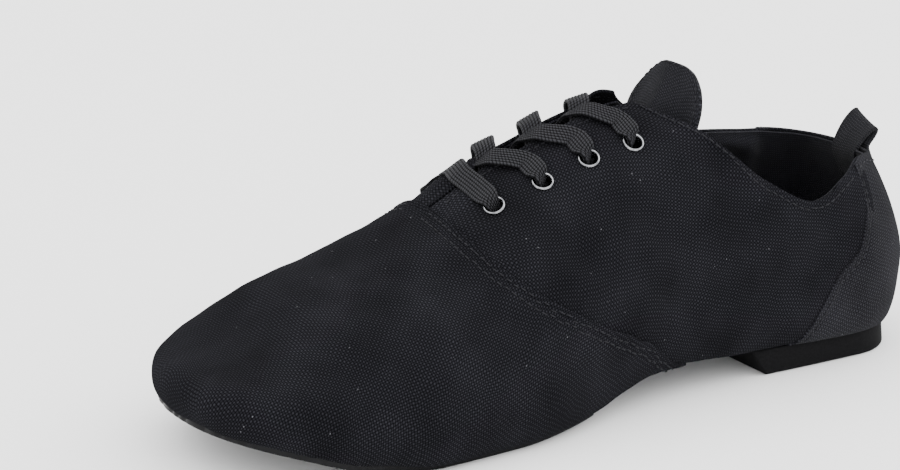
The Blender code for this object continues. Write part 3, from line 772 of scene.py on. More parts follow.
def woven(name, colour, light, pitch, turn, sheen, dust=0.25):
    """Plain-woven cotton: threads pass over and under each other on a square grid of the pitch in millimetres.

    Each crossing shows as a small bead, every second one prouder, and a few pale lint specks sit on top."""
    made, tree, principled = shader(name, Roughness=1.0, Sheen_Weight=sheen, Sheen_Roughness=0.5,
                                    Specular_IOR_Level=0.0)
    calc = calculator(tree)
    uv = node(tree, "UVMap", uv_map="Weave").outputs["UV"]
    wobble = noise(tree, uv, 0.11, 2.0, "Color")
    shift = node(tree, "VectorMath", {0: wobble, 1: (0.5, 0.5, 0.5)}, operation="SUBTRACT").outputs["Vector"]
    soft = node(tree, "VectorMath", {0: shift, "Scale": 2.2}, operation="SCALE").outputs["Vector"]
    bent = node(tree, "VectorMath", {0: uv, 1: soft}, operation="ADD").outputs["Vector"]
    threads = node(tree, "Mapping", {"Vector": bent, "Rotation": (0, 0, math.radians(turn)),
                                     "Scale": (1 / pitch,) * 3}).outputs[0]
    parts = node(tree, "SeparateXYZ", {"Vector": threads}).outputs
    product = calc("MULTIPLY", *(calc("SINE", calc("MULTIPLY", parts[axis], math.pi)) for axis in "XY"))
    bead = calc("MULTIPLY", calc("POWER", calc("ABSOLUTE", product), 0.7), 0.72)
    proud = calc("MULTIPLY_ADD", product, 0.26, bead)
    height = calc("MULTIPLY_ADD", noise(tree, threads, 0.55, 3.0), 0.9, proud)
    height = calc("MULTIPLY_ADD", noise(tree, bent, 5.0, 2.0), 0.36, height)
    emboss(tree, principled, height, 0.75, 0.0004)
    # Painted highlight on each bead's crown and painted shade in the gaps between beads, in every woven finish
    shade = ramp(tree, proud, 0.0, colour, 0.9, light)
    spread = node(tree, "MapRange", {"Value": noise(tree, uv, 0.045, 3.0), "From Min": 0.3, "From Max": 0.7,
                                     "To Min": 0.72, "To Max": 1.25}).outputs[0]
    mottled = node(tree, "VectorMath", {0: shade, "Scale": spread}, operation="SCALE").outputs["Vector"]
    specks = node(tree, "TexVoronoi", {"Vector": uv, "Scale": 0.16, "Randomness": 1.0})
    faint = calc("MULTIPLY", calc("LESS_THAN", specks.outputs["Distance"], 0.035), dust)
    final = node(tree, "Mix", {"Factor": faint, 6: mottled, 7: linear("#8E8E93")}, data_type="RGBA").outputs[2]
    tree.links.new(final, principled.inputs["Base Color"])
    return made


def ribbed(name, colour, light):
    """Flat woven cotton lace: seven rounded ribs along it, each plaited in slanted beads 1 mm long."""
    made, tree, principled = shader(name, Roughness=0.7, Sheen_Weight=0.015, Sheen_Roughness=0.5,
                                    Specular_IOR_Level=0.05)
    calc = calculator(tree)
    uv = node(tree, "UVMap", uv_map="Weave").outputs["UV"]
    parts = node(tree, "SeparateXYZ", {"Vector": uv}).outputs
    rib = calc("MULTIPLY_ADD", parts["Y"], 7 / 7.5, 3.5)
    row = calc("FLOOR", rib)
    inside = calc("SUBTRACT", rib, row)
    bow = calc("SINE", calc("MULTIPLY", inside, math.pi))
    stagger = calc("MULTIPLY_ADD", row, 0.5, calc("MULTIPLY_ADD", inside, 0.5, parts["X"]))
    bead = calc("ABSOLUTE", calc("SINE", calc("MULTIPLY", stagger, math.pi)))
    body = calc("POWER", calc("MULTIPLY", bow, bead), 0.6)
    height = calc("MULTIPLY_ADD", noise(tree, uv, 4.0, 3.0), 0.35, body)
    emboss(tree, principled, height, 0.8, 0.0004)
    # Painted shade in the grooves between ribs and beads, and painted highlight on their crowns
    tree.links.new(ramp(tree, height, 0.42, colour, 1.0, light), principled.inputs["Base Color"])
    return made


def polished(name, colour, light, rough, scale, depth, **values):
    """Leather, rubber or metal with fine grain: scale is grains to a metre, depth their height in metres."""
    made, tree, principled = shader(name, Roughness=rough, **values)
    grain = noise(tree, node(tree, "TexCoord").outputs["Object"], scale, 4.0)
    tree.links.new(ramp(tree, grain, 0.3, colour, 0.75, light), principled.inputs["Base Color"])
    spread = node(tree, "MapRange", {"Value": grain, "To Min": rough - 0.1, "To Max": rough + 0.12}).outputs[0]
    tree.links.new(spread, principled.inputs["Roughness"])
    emboss(tree, principled, grain, 0.5, depth)
    return made


FINISHES = {}


def finish(name):
    """The shoe's finishes, each made once."""
    chosen = bpy.context.scene.jazz_shoe
    makers = {
        # Black cotton canvas, a coarse plain weave with painted highlights on its bead crowns and painted shade
        # between them
        "canvas": lambda: woven("black_cotton_canvas", "#030304", chosen.canvas, 0.80, 0, 0.01),
        # The same canvas turned a little, as the quarters are cut
        "canvas_quarter": lambda: woven("black_cotton_canvas_bias", "#030304", chosen.canvas, 0.80, 28, 0.01),
        # The canvas of the tongue and the counter, painted a little paler as a lit copy of the canvas and given
        # more sheen: a painted highlight where more light falls on them
        "canvas_painted_lit": lambda: woven("black_cotton_canvas_painted_lit", "#050506", "#28282D", 0.80, 18, 0.04),
        # Thin black cotton drill, nearly without sheen
        "lining": lambda: woven("black_cotton_drill", "#0A0A0C", "#26262C", 0.60, 45, 0.05, 0.5),
        # Cotton tape folded into the pull loop
        "tape": lambda: woven("black_cotton_tape", "#070708", "#2A2A2E", 0.60, 45, 0.05, 0.0),
        # Flat black lace, matt, with painted highlights on its ribs' crowns and painted shade in the grooves
        # between them
        "lace": lambda: ribbed("black_braided_lace", "#040405", chosen.lace),
        # Bright nickel plate on brass
        "nickel": lambda: polished("bright_nickel_plate", "#5E5F62", "#A2A3A6", 0.22, 900.0, 0.000004,
                                   Metallic=1.0),
        # Thin glazed sole leather
        "sole": lambda: polished("glazed_sole_leather", "#040405", "#101012", 0.46, 500.0, 0.00012,
                                 Coat_Weight=0.06, Specular_IOR_Level=0.08),
        # Black moulded rubber with a dusty bloom
        "rubber": lambda: polished("moulded_black_rubber", "#060607", "#131314", 0.8, 1400.0, 0.00006,
                                   Specular_IOR_Level=0.05),
        # Twisted polyester thread
        "thread": lambda: polished("black_sewing_thread", "#0C0C0E", "#26262A", 0.7, 2500.0, 0.00004,
                                   Specular_IOR_Level=0.1),
    }
    if name not in FINISHES:
        FINISHES[name] = makers[name]()
    return FINISHES[name]


# Pieces of the upper


def seam_places(side, column, levels):
    """Shares and levels on the last along the vamp's or the counter's edge, from the sole up."""
    top = 1.0 if column == "vamp" else upper_edge(side, float(seam(column, 1.0)))
    return seam(column, levels), np.where(levels > 0, levels * top, levels)


def seam_line(side, column):
    """Points along a panel's edge."""
    return skin(side, *seam_places(side, column, np.linspace(-0.98, 1.0, 90)))


def panel_depths(columns, above, below, under, power=1.0):
    """Depths of a panel's rows, over its columns: above the widest line, below it and under the sole."""
    rows = [np.linspace(0, 1, above) ** power, np.linspace(1, 2, below)[1:], np.linspace(2, 3, under)[1:]]
    return np.concatenate(rows)[:, None] * np.ones(columns)


def hem(gap):
    """Turned edge of the canvas with the dent of its stitches."""
    return 0.00028 * ease((0.0042 - gap) / 0.0010) - 0.0002 * bell(gap - HEM_ROW, 0.0006)


def around_heel(halves):
    """Join the grids of both sides at the back of the heel."""
    return [np.concatenate((outer[:, ::-1], inner[:, 1:]), axis=1) for outer, inner in zip(*halves)]


def pucker(gap, place, pitch=0.0029, reach=0.0035, height=0.00022):
    """Small swells between the stitches of a seam, fading away from it."""
    return height * np.exp(-gap / reach) * np.sin(2 * math.pi * place / pitch)


def make_vamp():
    """Vamp: one panel from the sole over the ridge to the sole, laid over the quarters."""
    run = 1 - (1 - np.linspace(0, 1, 150)) ** 1.45
    depth = panel_depths(len(run), 58, 17, 7, 1.05)
    level = seam_level(depth)
    front = seam("vamp", level)
    shares = front + (1 - front) * run * np.where(run > 0, run, 1) ** (0.35 * np.clip(level, 0, 1))
    halves = []
    for side in (1, -1):
        points = wall(side, shares, depth, 1.0)
        edge, place, _ = nearest(points, seam_line(side, "vamp"))
        relief = VAMP_STEP + folds(points, VAMP_FOLDS) + unevenness(points, 0.0004)
        relief = relief + 0.0006 * bell(edge, 0.0014) * ease((1.5 - depth) / 0.4)
        relief = relief + pucker(edge, place) * ease(edge / 0.0008)
        for row in VAMP_ROWS:
            relief = relief - 0.00018 * bell(edge - row, 0.0005)
        relief = relief * ease((2.6 - depth) / 0.8) + toe_pleats(side, shares, depth)
        under = np.clip(depth - 2, 0, 1) * LASTING_MARGIN
        halves.append((points, vamp_weave(side, shares, np.where(depth < 2, level, -1.0), under), relief))
    joined = [np.concatenate((outer[::-1], inner[1:])) for outer, inner in zip(*halves)]
    piece = cloth("vamp", *joined, axis=(-0.01, 0.018))
    thicken(piece, CANVAS)
    return ready(piece, "canvas", ("upper",))


def quarter_relief(side, points, depth, edge_gap):
    """Folds, hem and swell of a quarter."""
    relief = folds(points, QUARTER_FOLDS, side) + unevenness(points, 0.0004)
    swell, place, _ = nearest(points, seam_line(side, "vamp"))
    relief = relief + 0.0010 * bell(swell - 0.010, 0.006) * ease(1.4 - depth)
    relief = relief + pucker(swell, place, 0.0058, 0.004, 0.0002)
    return (relief * ease(edge_gap / 0.006) + hem(edge_gap)) * ease((2.6 - depth) / 0.8)


def close_throat(points, shares):
    """Draw the inner facing over the ridge towards the outer one, as the lace pulls it at the lower end."""
    moved = points.copy()
    reach = 14
    for k, share in enumerate(shares):
        pull = float(ease((share - 0.50) / 0.10))
        if pull <= 0:
            continue
        half = half_throat(min(share, THROAT - 0.002))
        goal = (2 * half - 0.0012) * pull - half
        far = -half - lengths(points[:reach, k])
        across = goal + (far[-1] - goal) * (np.arange(reach) / (reach - 1)) ** 1.1
        moved[:reach, k] = over_line(share, across, np.zeros(reach))
    return moved


def make_quarter(side):
    """Quarter: from under the counter to under the vamp, with its hem along the collar and the facing."""
    part = np.linspace(0, 1, 170)
    depth = panel_depths(len(part), 76, 15, 6)
    level = seam_level(depth)
    lap = OVERLAP / LENGTH
    back = seam("counter", level) - lap
    front = np.minimum(seam("vamp", level) + lap, THROAT + lap)
    shares = back + (front - back) * part
    tops = np.array([upper_edge(side, share) for share in shares[0]])
    points = wall(side, shares, depth, tops)
    if side < 0:
        points = close_throat(points, shares[0])
    edge_gap = np.linalg.norm(points - points[0], axis=-1)
    relief = quarter_relief(side, points, depth, edge_gap)
    if side < 0:
        # The free corner of the inner facing curls up
        relief = relief + 0.0036 * bell(shares - 0.388, 0.026) * bell(edge_gap, 0.013)
    relief = relief * calm(side, points)
    name = "quarter_outer" if side > 0 else "quarter_inner"
    piece = cloth(name, points, side_weave(side, shares, points), relief, axis=(0.0, 0.03))
    punch(piece, side)
    thicken(piece, CANVAS)
    return ready(piece, "canvas_quarter")


def make_counter():
    """Counter: the panel around the back of the heel, laid over the quarters."""
    part = np.linspace(0, 1, 60) ** 1.5
    depth = panel_depths(len(part), 60, 13, 6)
    shares = seam("counter", seam_level(depth)) * part
    halves = []
    for side in (1, -1):
        tops = np.array([upper_edge(side, share) for share in shares[0]])
        points = wall(side, shares, depth, tops)
        edge, place, _ = nearest(points, seam_line(side, "counter"))
        gap = np.linalg.norm(points - points[0], axis=-1)
        relief = folds(points, COUNTER_FOLDS) + unevenness(points, 0.0003)
        relief = relief + pucker(edge, place) * ease(edge / 0.0008) - 0.00016 * bell(edge - COUNTER_ROW, 0.0005)
        relief = (relief * ease(gap / 0.006) + hem(gap) + COUNTER_STEP) * ease((2.6 - depth) / 0.8)
        halves.append((points, side_weave(side, shares, points), relief))
    piece = cloth("counter", *around_heel(halves), axis=(0.0, 0.03))
    thicken(piece, CANVAS)
    # The counter takes the paler canvas, a lit copy with painted light
    return ready(piece, "canvas_painted_lit")


def make_lining():
    """Lining: a loose thin layer inside the whole upper, with soft wrinkles at the heel."""
    even = np.linspace(0, 1, 110)
    part = (1 - (1 - even) ** 1.3) * 0.5 + even * 0.5
    depth = panel_depths(len(part), 44, 11, 4)
    shares = np.ones_like(depth) * part
    halves = []
    for side in (1, -1):
        tops = np.array([upper_edge(side, share) for share in part])
        points = wall(side, shares, depth, tops)
        gap = np.linalg.norm(points - points[0], axis=-1)
        outside = folds(points, QUARTER_FOLDS, side) + folds(points, VAMP_FOLDS + COUNTER_FOLDS, side)
        relief = folds(points, LINING_FOLDS, side) * ease(gap / 0.005) + np.minimum(outside, 0.0)
        relief = relief - (CANVAS + 0.00045 * ease(gap / 0.004) + 0.00008)
        relief = relief - 0.0004 * ease((depth - 1.6) / 0.4)
        halves.append((points, side_weave(side, shares, points), relief))
    piece = cloth("lining", *around_heel(halves), axis=(0.0, 0.03))
    for side in (1, -1):
        punch(piece, side)
    thicken(piece, LINING, edge=0.00015)
    return ready(piece, "lining")


def make_tongue():
    """Tongue: rooted under the vamp, wide and round at its free top, with a turned and stitched rim."""
    places = 1 - (1 - np.linspace(0, 1, 110)) ** 1.35
    across = np.linspace(-1, 1, 61)
    lift = TONGUE_FREE * np.array((0, math.cos(TONGUE_ANGLE), math.sin(TONGUE_ANGLE)))
    points = np.zeros((len(places), len(across), 3))
    weave = np.zeros((len(places), len(across), 2))
    for i, place in enumerate(places):
        share, half, drop, rise = (float(tongue(name, place)) for name in TONGUE_COLUMNS[1:])
        depth = WALL + GAP + drop * (0.0013 + 2 * LACE_ROOM)
        wider = 1 + TONGUE_REACH * rise * (across < 0)
        flare = (TONGUE_FLARE + TONGUE_CURL * (across < 0)) * rise * (across * half) ** 2
        reach = across * half * wider * TONGUE_WIDTH / 2
        points[i] = over_line(share, reach, flare - depth) + lift * rise
        weave[i, :, 0] = reach * 1000
    weave[..., 1] = lengths(points[:, len(across) // 2])[:, None] * 1000
    rim = np.concatenate((points[:, 0], points[-1, 1:-1], points[::-1, -1]))
    gap, _, _ = nearest(points, rim)
    relief = 0.00030 * ease((0.0040 - gap) / 0.0008) - 0.0002 * bell(gap - 0.0030, 0.0006)
    piece = cloth("tongue_canvas", points, weave, relief + unevenness(points, 0.0003), axis=(-0.01, 0.03))
    thicken(piece, TONGUE, edge=0.0005)
    # The tongue takes the paler canvas, a lit copy with painted light
    return ready(piece, "canvas_painted_lit", ("tongue",)), points


# Pieces under the foot


def sole_cloth(name, shares, inset, rise):
    """Sheet of the underside, raised by a distance."""
    inset = inset * np.ones(len(shares))
    parts = np.linspace(0, 1, 12)[:, None] * np.ones(len(shares))
    halves = [np.stack([sole_point(side, shares, inset, part) for part in parts]) for side in (1, -1)]
    points = np.concatenate((halves[0], halves[1][::-1][1:])) + (0, 0, rise)
    return cloth(name, points, points[..., :2] * 1000, axis=(0.0, -0.2))


def toe_shares(start, count):
    return start + (1 - start) * (1 - (1 - np.linspace(0, 1, count)) ** 2.2)


def heel_shares(end, count):
    return end * np.linspace(0, 1, count) ** 2.2


def make_forefoot_sole():
    """Forefoot sole: thin glazed leather, drawn into small pleats around the toe."""
    shares = toe_shares(SOLE_REAR, 120)
    inset = SOLE_INSET - TOE_LIP * ease((shares - 0.78) / 0.12)
    piece = sole_cloth("forefoot_sole_leather", shares, inset, -GAP)
    thicken(piece, FOREFOOT_SOLE, edge=0)
    co = coordinates(piece)
    rim = np.concatenate([sole_point(side, shares, inset)[:, :2] for side in (1, -1)])
    away = np.array([np.linalg.norm(rim - spot, axis=1).min() for spot in co[:, :2]])
    near = np.exp(-away / 0.0015) * ease((-co[:, 1] - 0.088) / 0.02)
    wave = pleats(co[:, 0], co[:, 1])
    co[:, :2] += unit(co[:, :2] + (0, TOE_CENTRE)) * ((0.0008 * wave - 0.0004) * near)[:, None]
    co[:, 2] += (0.0005 * wave + 0.0009) * near
    place_vertices(piece, co)
    round_edges(piece, 0.0005, 3, 50)
    return ready(piece, "sole", ("forefoot_sole",))


def make_heel():
    """Heel block: the upper's underside extruded down to a flat tread, with a slanted breast."""
    piece = sole_cloth("heel_block", heel_shares(HEEL_LENGTH / LENGTH, 60), SOLE_INSET, -GAP)
    edit(piece, lambda: bpy.ops.mesh.extrude_region_move(TRANSFORM_OT_translate={"value": (0, 0, -1.0)}))
    co = coordinates(piece)
    low = co[:, 2] < -0.5
    rear = LENGTH / 2
    co[low, 1] = rear - (rear - co[low, 1]) * (1 - BREAST_SLANT / HEEL_LENGTH)
    co[low, 2] = 0.0
    place_vertices(piece, co)
    edit(piece, lambda: bpy.ops.mesh.normals_make_consistent(inside=False))
    round_edges(piece, 0.0007, 3, 40)
    return ready(piece, "rubber", ("heel",), 35)


def make_insole():
    """Insole: a black cloth-covered board along the whole foot."""
    shares = np.concatenate((heel_shares(0.3, 50), np.linspace(0.3, 0.6, 40)[1:-1], toe_shares(0.6, 60)))
    piece = sole_cloth("insole_board", shares, INSOLE_INSET, WALL + INSOLE_ROOM + INSOLE)
    thicken(piece, INSOLE, edge=0.0004)
    return ready(piece, "lining", ("insole",))


# Eyelets and lace


def make_eyelets():
    """Eight nickel eyelets: a rolled flange, a barrel through the canvas and a spread back."""
    profile = [(2.55, 0.05), (2.70, 0.58), (2.90, 0.90), (3.12, 0.98), (3.34, 0.80), (3.46, 0.38), (2.80, 0.15),
               (2.75, -1.90), (3.30, -2.05), (3.20, -2.30), (2.50, -2.20), (2.55, 0.05)]
    bpy.ops.object.select_all(action="DESELECT")
    bpy.ops.mesh.primitive_circle_add(vertices=48, radius=profile[0][0] / 1000, location=(0, 0, 0))
    model = bpy.context.object
    bpy.ops.object.mode_set(mode="EDIT")
    bpy.ops.mesh.select_mode(type="VERT")
    bpy.ops.mesh.select_all(action="SELECT")
    bpy.ops.transform.translate(value=(0, 0, profile[0][1] / 1000))
    for (r0, z0), (r1, z1) in zip(profile[:-1], profile[1:]):
        bpy.ops.mesh.extrude_region_move(TRANSFORM_OT_translate={"value": (0, 0, (z1 - z0) / 1000)})
        bpy.ops.transform.resize(value=(r1 / r0, r1 / r0, 1), center_override=(0, 0, z1 / 1000))
    bpy.ops.object.mode_set(mode="OBJECT")
    edit(model, lambda: bpy.ops.mesh.remove_doubles(threshold=WELD),
         lambda: bpy.ops.mesh.normals_make_consistent(inside=False))
    base = coordinates(model)
    for side, word in ((1, "outer"), (-1, "inner")):
        for number in range(EYELETS):
            piece = model.copy()
            piece.data = model.data.copy()
            bpy.context.scene.collection.objects.link(piece)
            piece.name = piece.data.name = f"nickel_eyelet_{word}_{number + 1}"
            spots = np.c_[base, np.ones(len(base))] @ np.array(eyelet_frame(side, number)).T
            place_vertices(piece, spots[:, :3])
            ready(piece, "nickel", (f"eyelet_{word}_{number + 1}",), 60)
    bpy.data.objects.remove(model)


def lace_frames(stops, count):
    """Points, up and sideways directions and widths along a lace path given by its stops.

    A stop is a share, a distance across, a height, a width and a thickness, all in metres but the share."""
    stops = np.array(stops)
    spots = np.array([over(*stop[:3]) for stop in stops])
    steps = lengths(spots)
    at = np.linspace(0, steps[-1], count)
    path = relaxed(np.stack([along(steps, spots[:, k], at) for k in range(3)], 1))
    width, thickness = (along(steps, stops[:, k], at) for k in (3, 4))
    shares, across = (np.interp(at, steps, stops[:, k]) for k in (0, 1))
    face = unit(np.array([over(s, a, 0.001) - over(s, a, 0.0) for s, a in zip(shares, across)]))
    run = unit(np.gradient(path, axis=0))
    sideways = np.cross(face, unit(path[-1] - path[0]))
    sideways = unit(sideways - run * (sideways * run).sum(1, keepdims=True))
    return path, np.cross(run, sideways), sideways, width, thickness, at


def relaxed(path):
    """A path with its small kinks eased out."""
    for _ in range(3):
        path[1:-1] = (path[:-2] + 2 * path[1:-1] + path[2:]) / 4
    return path


def strip_weave(along_it, across_it, shape):
    """Place on a strip's cloth, in millimetres along it and across it."""
    return np.stack((np.broadcast_to(along_it[:, None] * 1000, shape),
                     np.broadcast_to(across_it[None], shape)), -1)


def lace_strap(name, stops):
    """One strap of flat lace with ribs along it."""
    path, up, sideways, width, thickness, at = lace_frames(stops, 110)
    around = np.linspace(0, 1, 20 * LACE_RIBS + 1)
    across = np.where(around < 0.5, 4 * around - 1, 3 - 4 * around)
    top = np.where(around < 0.5, 1.0, -1.0)
    round_edge = np.clip(1 - np.abs(across) ** 8, 0, 1) ** 0.5
    grooves = 0.62 + 0.38 * np.abs(np.sin(math.pi * LACE_RIBS * (across + 1) / 2)) ** 0.7
    points = (path[:, None] + sideways[:, None] * (across * 0.5)[None, :, None] * width[:, None, None]
              + up[:, None] * (top * round_edge * grooves * 0.5)[None, :, None] * thickness[:, None, None])
    piece = sheet(name, points, strip_weave(at, across * 3.75, points.shape[:2]))
    edit(piece, lambda: bpy.ops.mesh.remove_doubles(threshold=2 * WELD),
         lambda: bpy.ops.mesh.select_mode(type="VERT"),
         lambda: bpy.ops.mesh.select_all(action="DESELECT"),
         lambda: bpy.ops.mesh.select_non_manifold(),
         lambda: bpy.ops.mesh.edge_face_add(),
         lambda: bpy.ops.mesh.select_all(action="SELECT"),
         lambda: bpy.ops.mesh.normals_make_consistent(inside=False))
    return piece


def into_eyelet(share, side, reach):
    """Last stops of a strap: over the flange, down through the ring and out behind the canvas."""
    return [
        (share, side * (reach - 0.0085), ON_CANVAS, LACE_WIDTH, LACE),
        (share, side * (reach - 0.0050), ON_CANVAS + 0.0003, LACE_WIDTH * 0.98, LACE),
        (share, side * (reach - 0.0028), ON_RING + 0.0004, LACE_WIDTH * 0.84, LACE * 1.1),
        (share, side * (reach - 0.0014), ON_RING - 0.0002, LACE_WIDTH * 0.68, LACE * 1.3),
        (share, side * (reach - 0.0007), -0.0006, LACE_WIDTH * 0.58, LACE * 1.4),
        (share, side * (reach - 0.0006), -0.0026, LACE_WIDTH * 0.56, LACE * 1.4),
    ]


def make_bar():
    """The straight bar of lace through the two lowest eyelets, entered from outside."""
    reach = eyelet_across(0)
    share = eyelet_share(0)
    stops = into_eyelet(share, -1, reach)[::-1]
    for across in np.linspace(-(reach - 0.0105), reach - 0.0105, 9):
        slant = 0.010 * ease((0.004 - across) / 0.012)
        stops.append((share - slant, across, ON_CANVAS + 0.0010 * bell(across, 0.006), LACE_WIDTH, LACE))
    stops += into_eyelet(share, 1, reach)
    return ready(lace_strap("lace_bar", stops), "lace", ("lace_bar_1",), 70)


def cross_stops(number, side, rows):
    """Stops of one strap: from behind an eyelet, under that facing, up through the throat, into the next.

    A row is a place across from the facing's edge that it leaves, its height, its width and how far
    along the way to the next eyelet it lies."""
    first = eyelet_share(number)
    second = eyelet_share(number + 1)
    start = eyelet_across(number)
    reach = eyelet_across(number + 1)
    stops = [(first, -side * (start - 0.0002), -0.0026, LACE_WIDTH * 0.55, LACE * 1.4),
             (first, -side * (start - 0.0030), UNDER_CANVAS - 0.0003, LACE_WIDTH * 0.85, LACE)]
    for across, height, width, part in rows:
        stops.append((first + (second - first) * part, side * across, height, width * LACE_WIDTH, LACE))
    return stops + into_eyelet(second, side, reach)


def make_cross(number):
    """One crossing: the strap to the outer side arches low over its facing's edge, and the other one
    comes up behind it and stands over the inner facing."""
    edge = half_throat((eyelet_share(number) + eyelet_share(number + 1)) / 2)
    outer = [
        (-edge - 0.0050, UNDER_CANVAS, 1.0, 0.30),
        (-edge - 0.0010, UNDER_CANVAS, 0.9, 0.36),
        (-edge + 0.0022, -0.0012, 0.80, 0.42),
        (edge - 0.0030, ON_CANVAS - 0.0002, 0.84, 0.50),
        (edge + 0.0005, ON_CANVAS + 0.0012, 0.96, 0.60),
        (edge + 0.0040, ON_CANVAS + 0.0010, 1.02, 0.76),
    ]
    inner = [
        (-edge - 0.0050, UNDER_CANVAS, 1.0, 0.30),
        (-edge - 0.0005, UNDER_CANVAS, 0.9, 0.40),
        (-edge + 0.0030, -0.0010, 0.84, 0.52),
        (edge - 0.0035, ON_CANVAS + 0.0012, 0.92, 0.68),
        (edge - 0.0002, ON_CANVAS + 0.0024, 1.0, 0.80),
        (edge + 0.0040, ON_CANVAS + 0.0022, 1.02, 0.92),
    ]
    upper = lace_strap(f"lace_crossing_{number + 2}", cross_stops(number, 1, outer))
    lower = lace_strap(f"lace_crossing_{number + 2}_lower", cross_stops(number, -1, inner))
    select(upper, lower)
    bpy.ops.object.join()
    return ready(upper, "lace", (f"lace_cross_{number + 2}",), 70)


# Pull loop and stitches


def make_pull_loop():
    """Pull loop: cotton tape folded over the back of the collar."""
    rim = float(collar("outer", 0.0)) * COLLAR_HEIGHT
    inside = -(WALL + LOOP_ROOM + LOOP_TAPE / 2)
    outside = COUNTER_STEP + LOOP_ROOM / 2 + LOOP_TAPE / 2
    half = (outside - inside) / 2
    middle = (outside + inside) / 2
    front_leg, rear_leg = LOOP_LEGS
    stops = [(inside, -front_leg * part) for part in np.linspace(1, 0, 9)]
    for angle in np.linspace(0, math.pi, 25):
        wide = half * (1 + LOOP_BULGE * math.sin(angle))
        stops.append((middle - wide * math.cos(angle), LOOP_CROWN + (LOOP_RISE - LOOP_CROWN) * math.sin(angle)))
    stops += [(outside, -rear_leg * part) for part in np.linspace(0, 1, 8)]
    level = level_at_height(1, 0.0, rim)
    path = []
    for depth, height in stops:
        at = level_at_height(1, 0.0, rim + min(height, 0.0))
        normal = outward(1, 0.0, at if height < 0 else level)
        normal[0] = 0.0
        rise = max(height, 0.0)
        shift = np.array((LOOP_PLACE, LOOP_LEAN * rise / LOOP_RISE, rise))
        path.append(skin(1, 0.0, at) + normal * depth + shift)
    path = relaxed(np.array(path))
    up = unit(np.cross(np.gradient(path, axis=0), (1.0, 0.0, 0.0)))
    across = np.linspace(-1, 1, 21)
    curl = 0.00035 * np.abs(across) ** 3
    tilt = LOOP_TILT * np.clip((path[:, 2] - path[0, 2] - front_leg) / LOOP_RISE, 0, 1)
    side = np.stack((np.cos(tilt), 0 * tilt, -np.sin(tilt)), -1)
    points = (path[:, None] + side[:, None] * (across * LOOP_WIDTH / 2)[None, :, None]
              - up[:, None] * curl[None, :, None])
    weave = strip_weave(lengths(path), across * LOOP_WIDTH * 500, points.shape[:2])
    piece = cloth("pull_loop_tape", points, weave)
    thicken(piece, LOOP_TAPE, edge=0.0003, offset=0.0)
    return ready(piece, "tape", ("pull_loop",))


def stitch_model():
    """One stitch: a short round bead of thread with tapered ends, along X."""
    bpy.ops.object.select_all(action="DESELECT")
    bpy.ops.mesh.primitive_cylinder_add(vertices=6, radius=1, depth=2, rotation=(0, math.pi / 2, 0))
    model = bpy.context.object
    bpy.ops.object.transform_apply(location=True, rotation=True, scale=True)
    bpy.ops.object.mode_set(mode="EDIT")
    for place in (0, 0.62, -0.62):
        bpy.ops.mesh.select_all(action="SELECT")
        bpy.ops.mesh.bisect(plane_co=(place, 0, 0), plane_no=(1, 0, 0))
    bpy.ops.object.mode_set(mode="OBJECT")
    co = coordinates(model)
    taper = np.where(np.abs(co[:, 0]) > 0.9, 0.35, np.where(np.abs(co[:, 0]) > 0.5, 0.9, 1.0))
    co[:, 1:] *= taper[:, None]
    co[:, 2] -= 0.55 * (np.abs(co[:, 0]) > 0.9)
    faces = [tuple(face.vertices) for face in model.data.polygons]
    bpy.data.objects.remove(model)
    return co, faces


def make_stitches(name, rows):
    """Rows of stitches laid on finished panels. A row is a panel and a line of points near it."""
    base, faces = stitch_model()
    points, polygons = [], []
    for panel, line in rows:
        line = lean(line)
        steps = lengths(line)
        places = np.arange(STITCH_PITCH / 2, steps[-1], STITCH_PITCH)
        centres, ahead, behind = (np.stack([np.interp(places + shift, steps, line[:, k]) for k in range(3)], 1)
                                  for shift in (0, 0.0005, -0.0005))
        for centre, run in zip(centres, ahead - behind):
            found, spot, normal, _ = panel.closest_point_on_mesh(Vector(centre))
            if not found or (spot - Vector(centre)).length > 0.006:
                continue
            run = Vector(run)
            run = (run - normal * run.dot(normal)).normalized()
            turn = np.array((run * STITCH_LENGTH / 2, normal.cross(run) * THREAD, normal * THREAD))
            polygons.extend(tuple(len(points) + k for k in face) for face in faces)
            points.extend(base @ turn + np.array(spot + normal * STITCH_RISE))
    mesh = bpy.data.meshes.new(name)
    mesh.from_pydata([tuple(p) for p in points], [], polygons)
    piece = bpy.data.objects.new(name, mesh)
    bpy.context.scene.collection.objects.link(piece)
    edit(piece, lambda: bpy.ops.mesh.normals_make_consistent(inside=False))
    return ready(piece, "thread", angle=60)


def seam_row(side, column, levels, distance):
    """Line of stitches beside a seam, over its own panel: the vamp lies towards the toe of its seam."""
    places = seam_places(side, column, levels)
    line = skin(side, *places)
    normals = outward(side, *places)
    across = unit(np.cross(normals, np.gradient(line, axis=0))) * distance
    if (across[len(line) // 2, 1] > 0) == (column == "vamp"):
        across = -across
    return line + across + normals * STAND_OFF


def edge_row(side, start, end):
    """Line of stitches below the collar's or the facing's edge on one side."""
    points = []
    for share in np.linspace(start, end, 120):
        top = upper_edge(side, share)
        sweep = np.linspace(top, max(top - 0.35, 0.0), 60)
        run = skin(side, share, sweep)
        above = run + outward(side, share, sweep) * STAND_OFF
        points.append([np.interp(HEM_ROW, lengths(run), above[:, k]) for k in range(3)])
    return np.array(points)


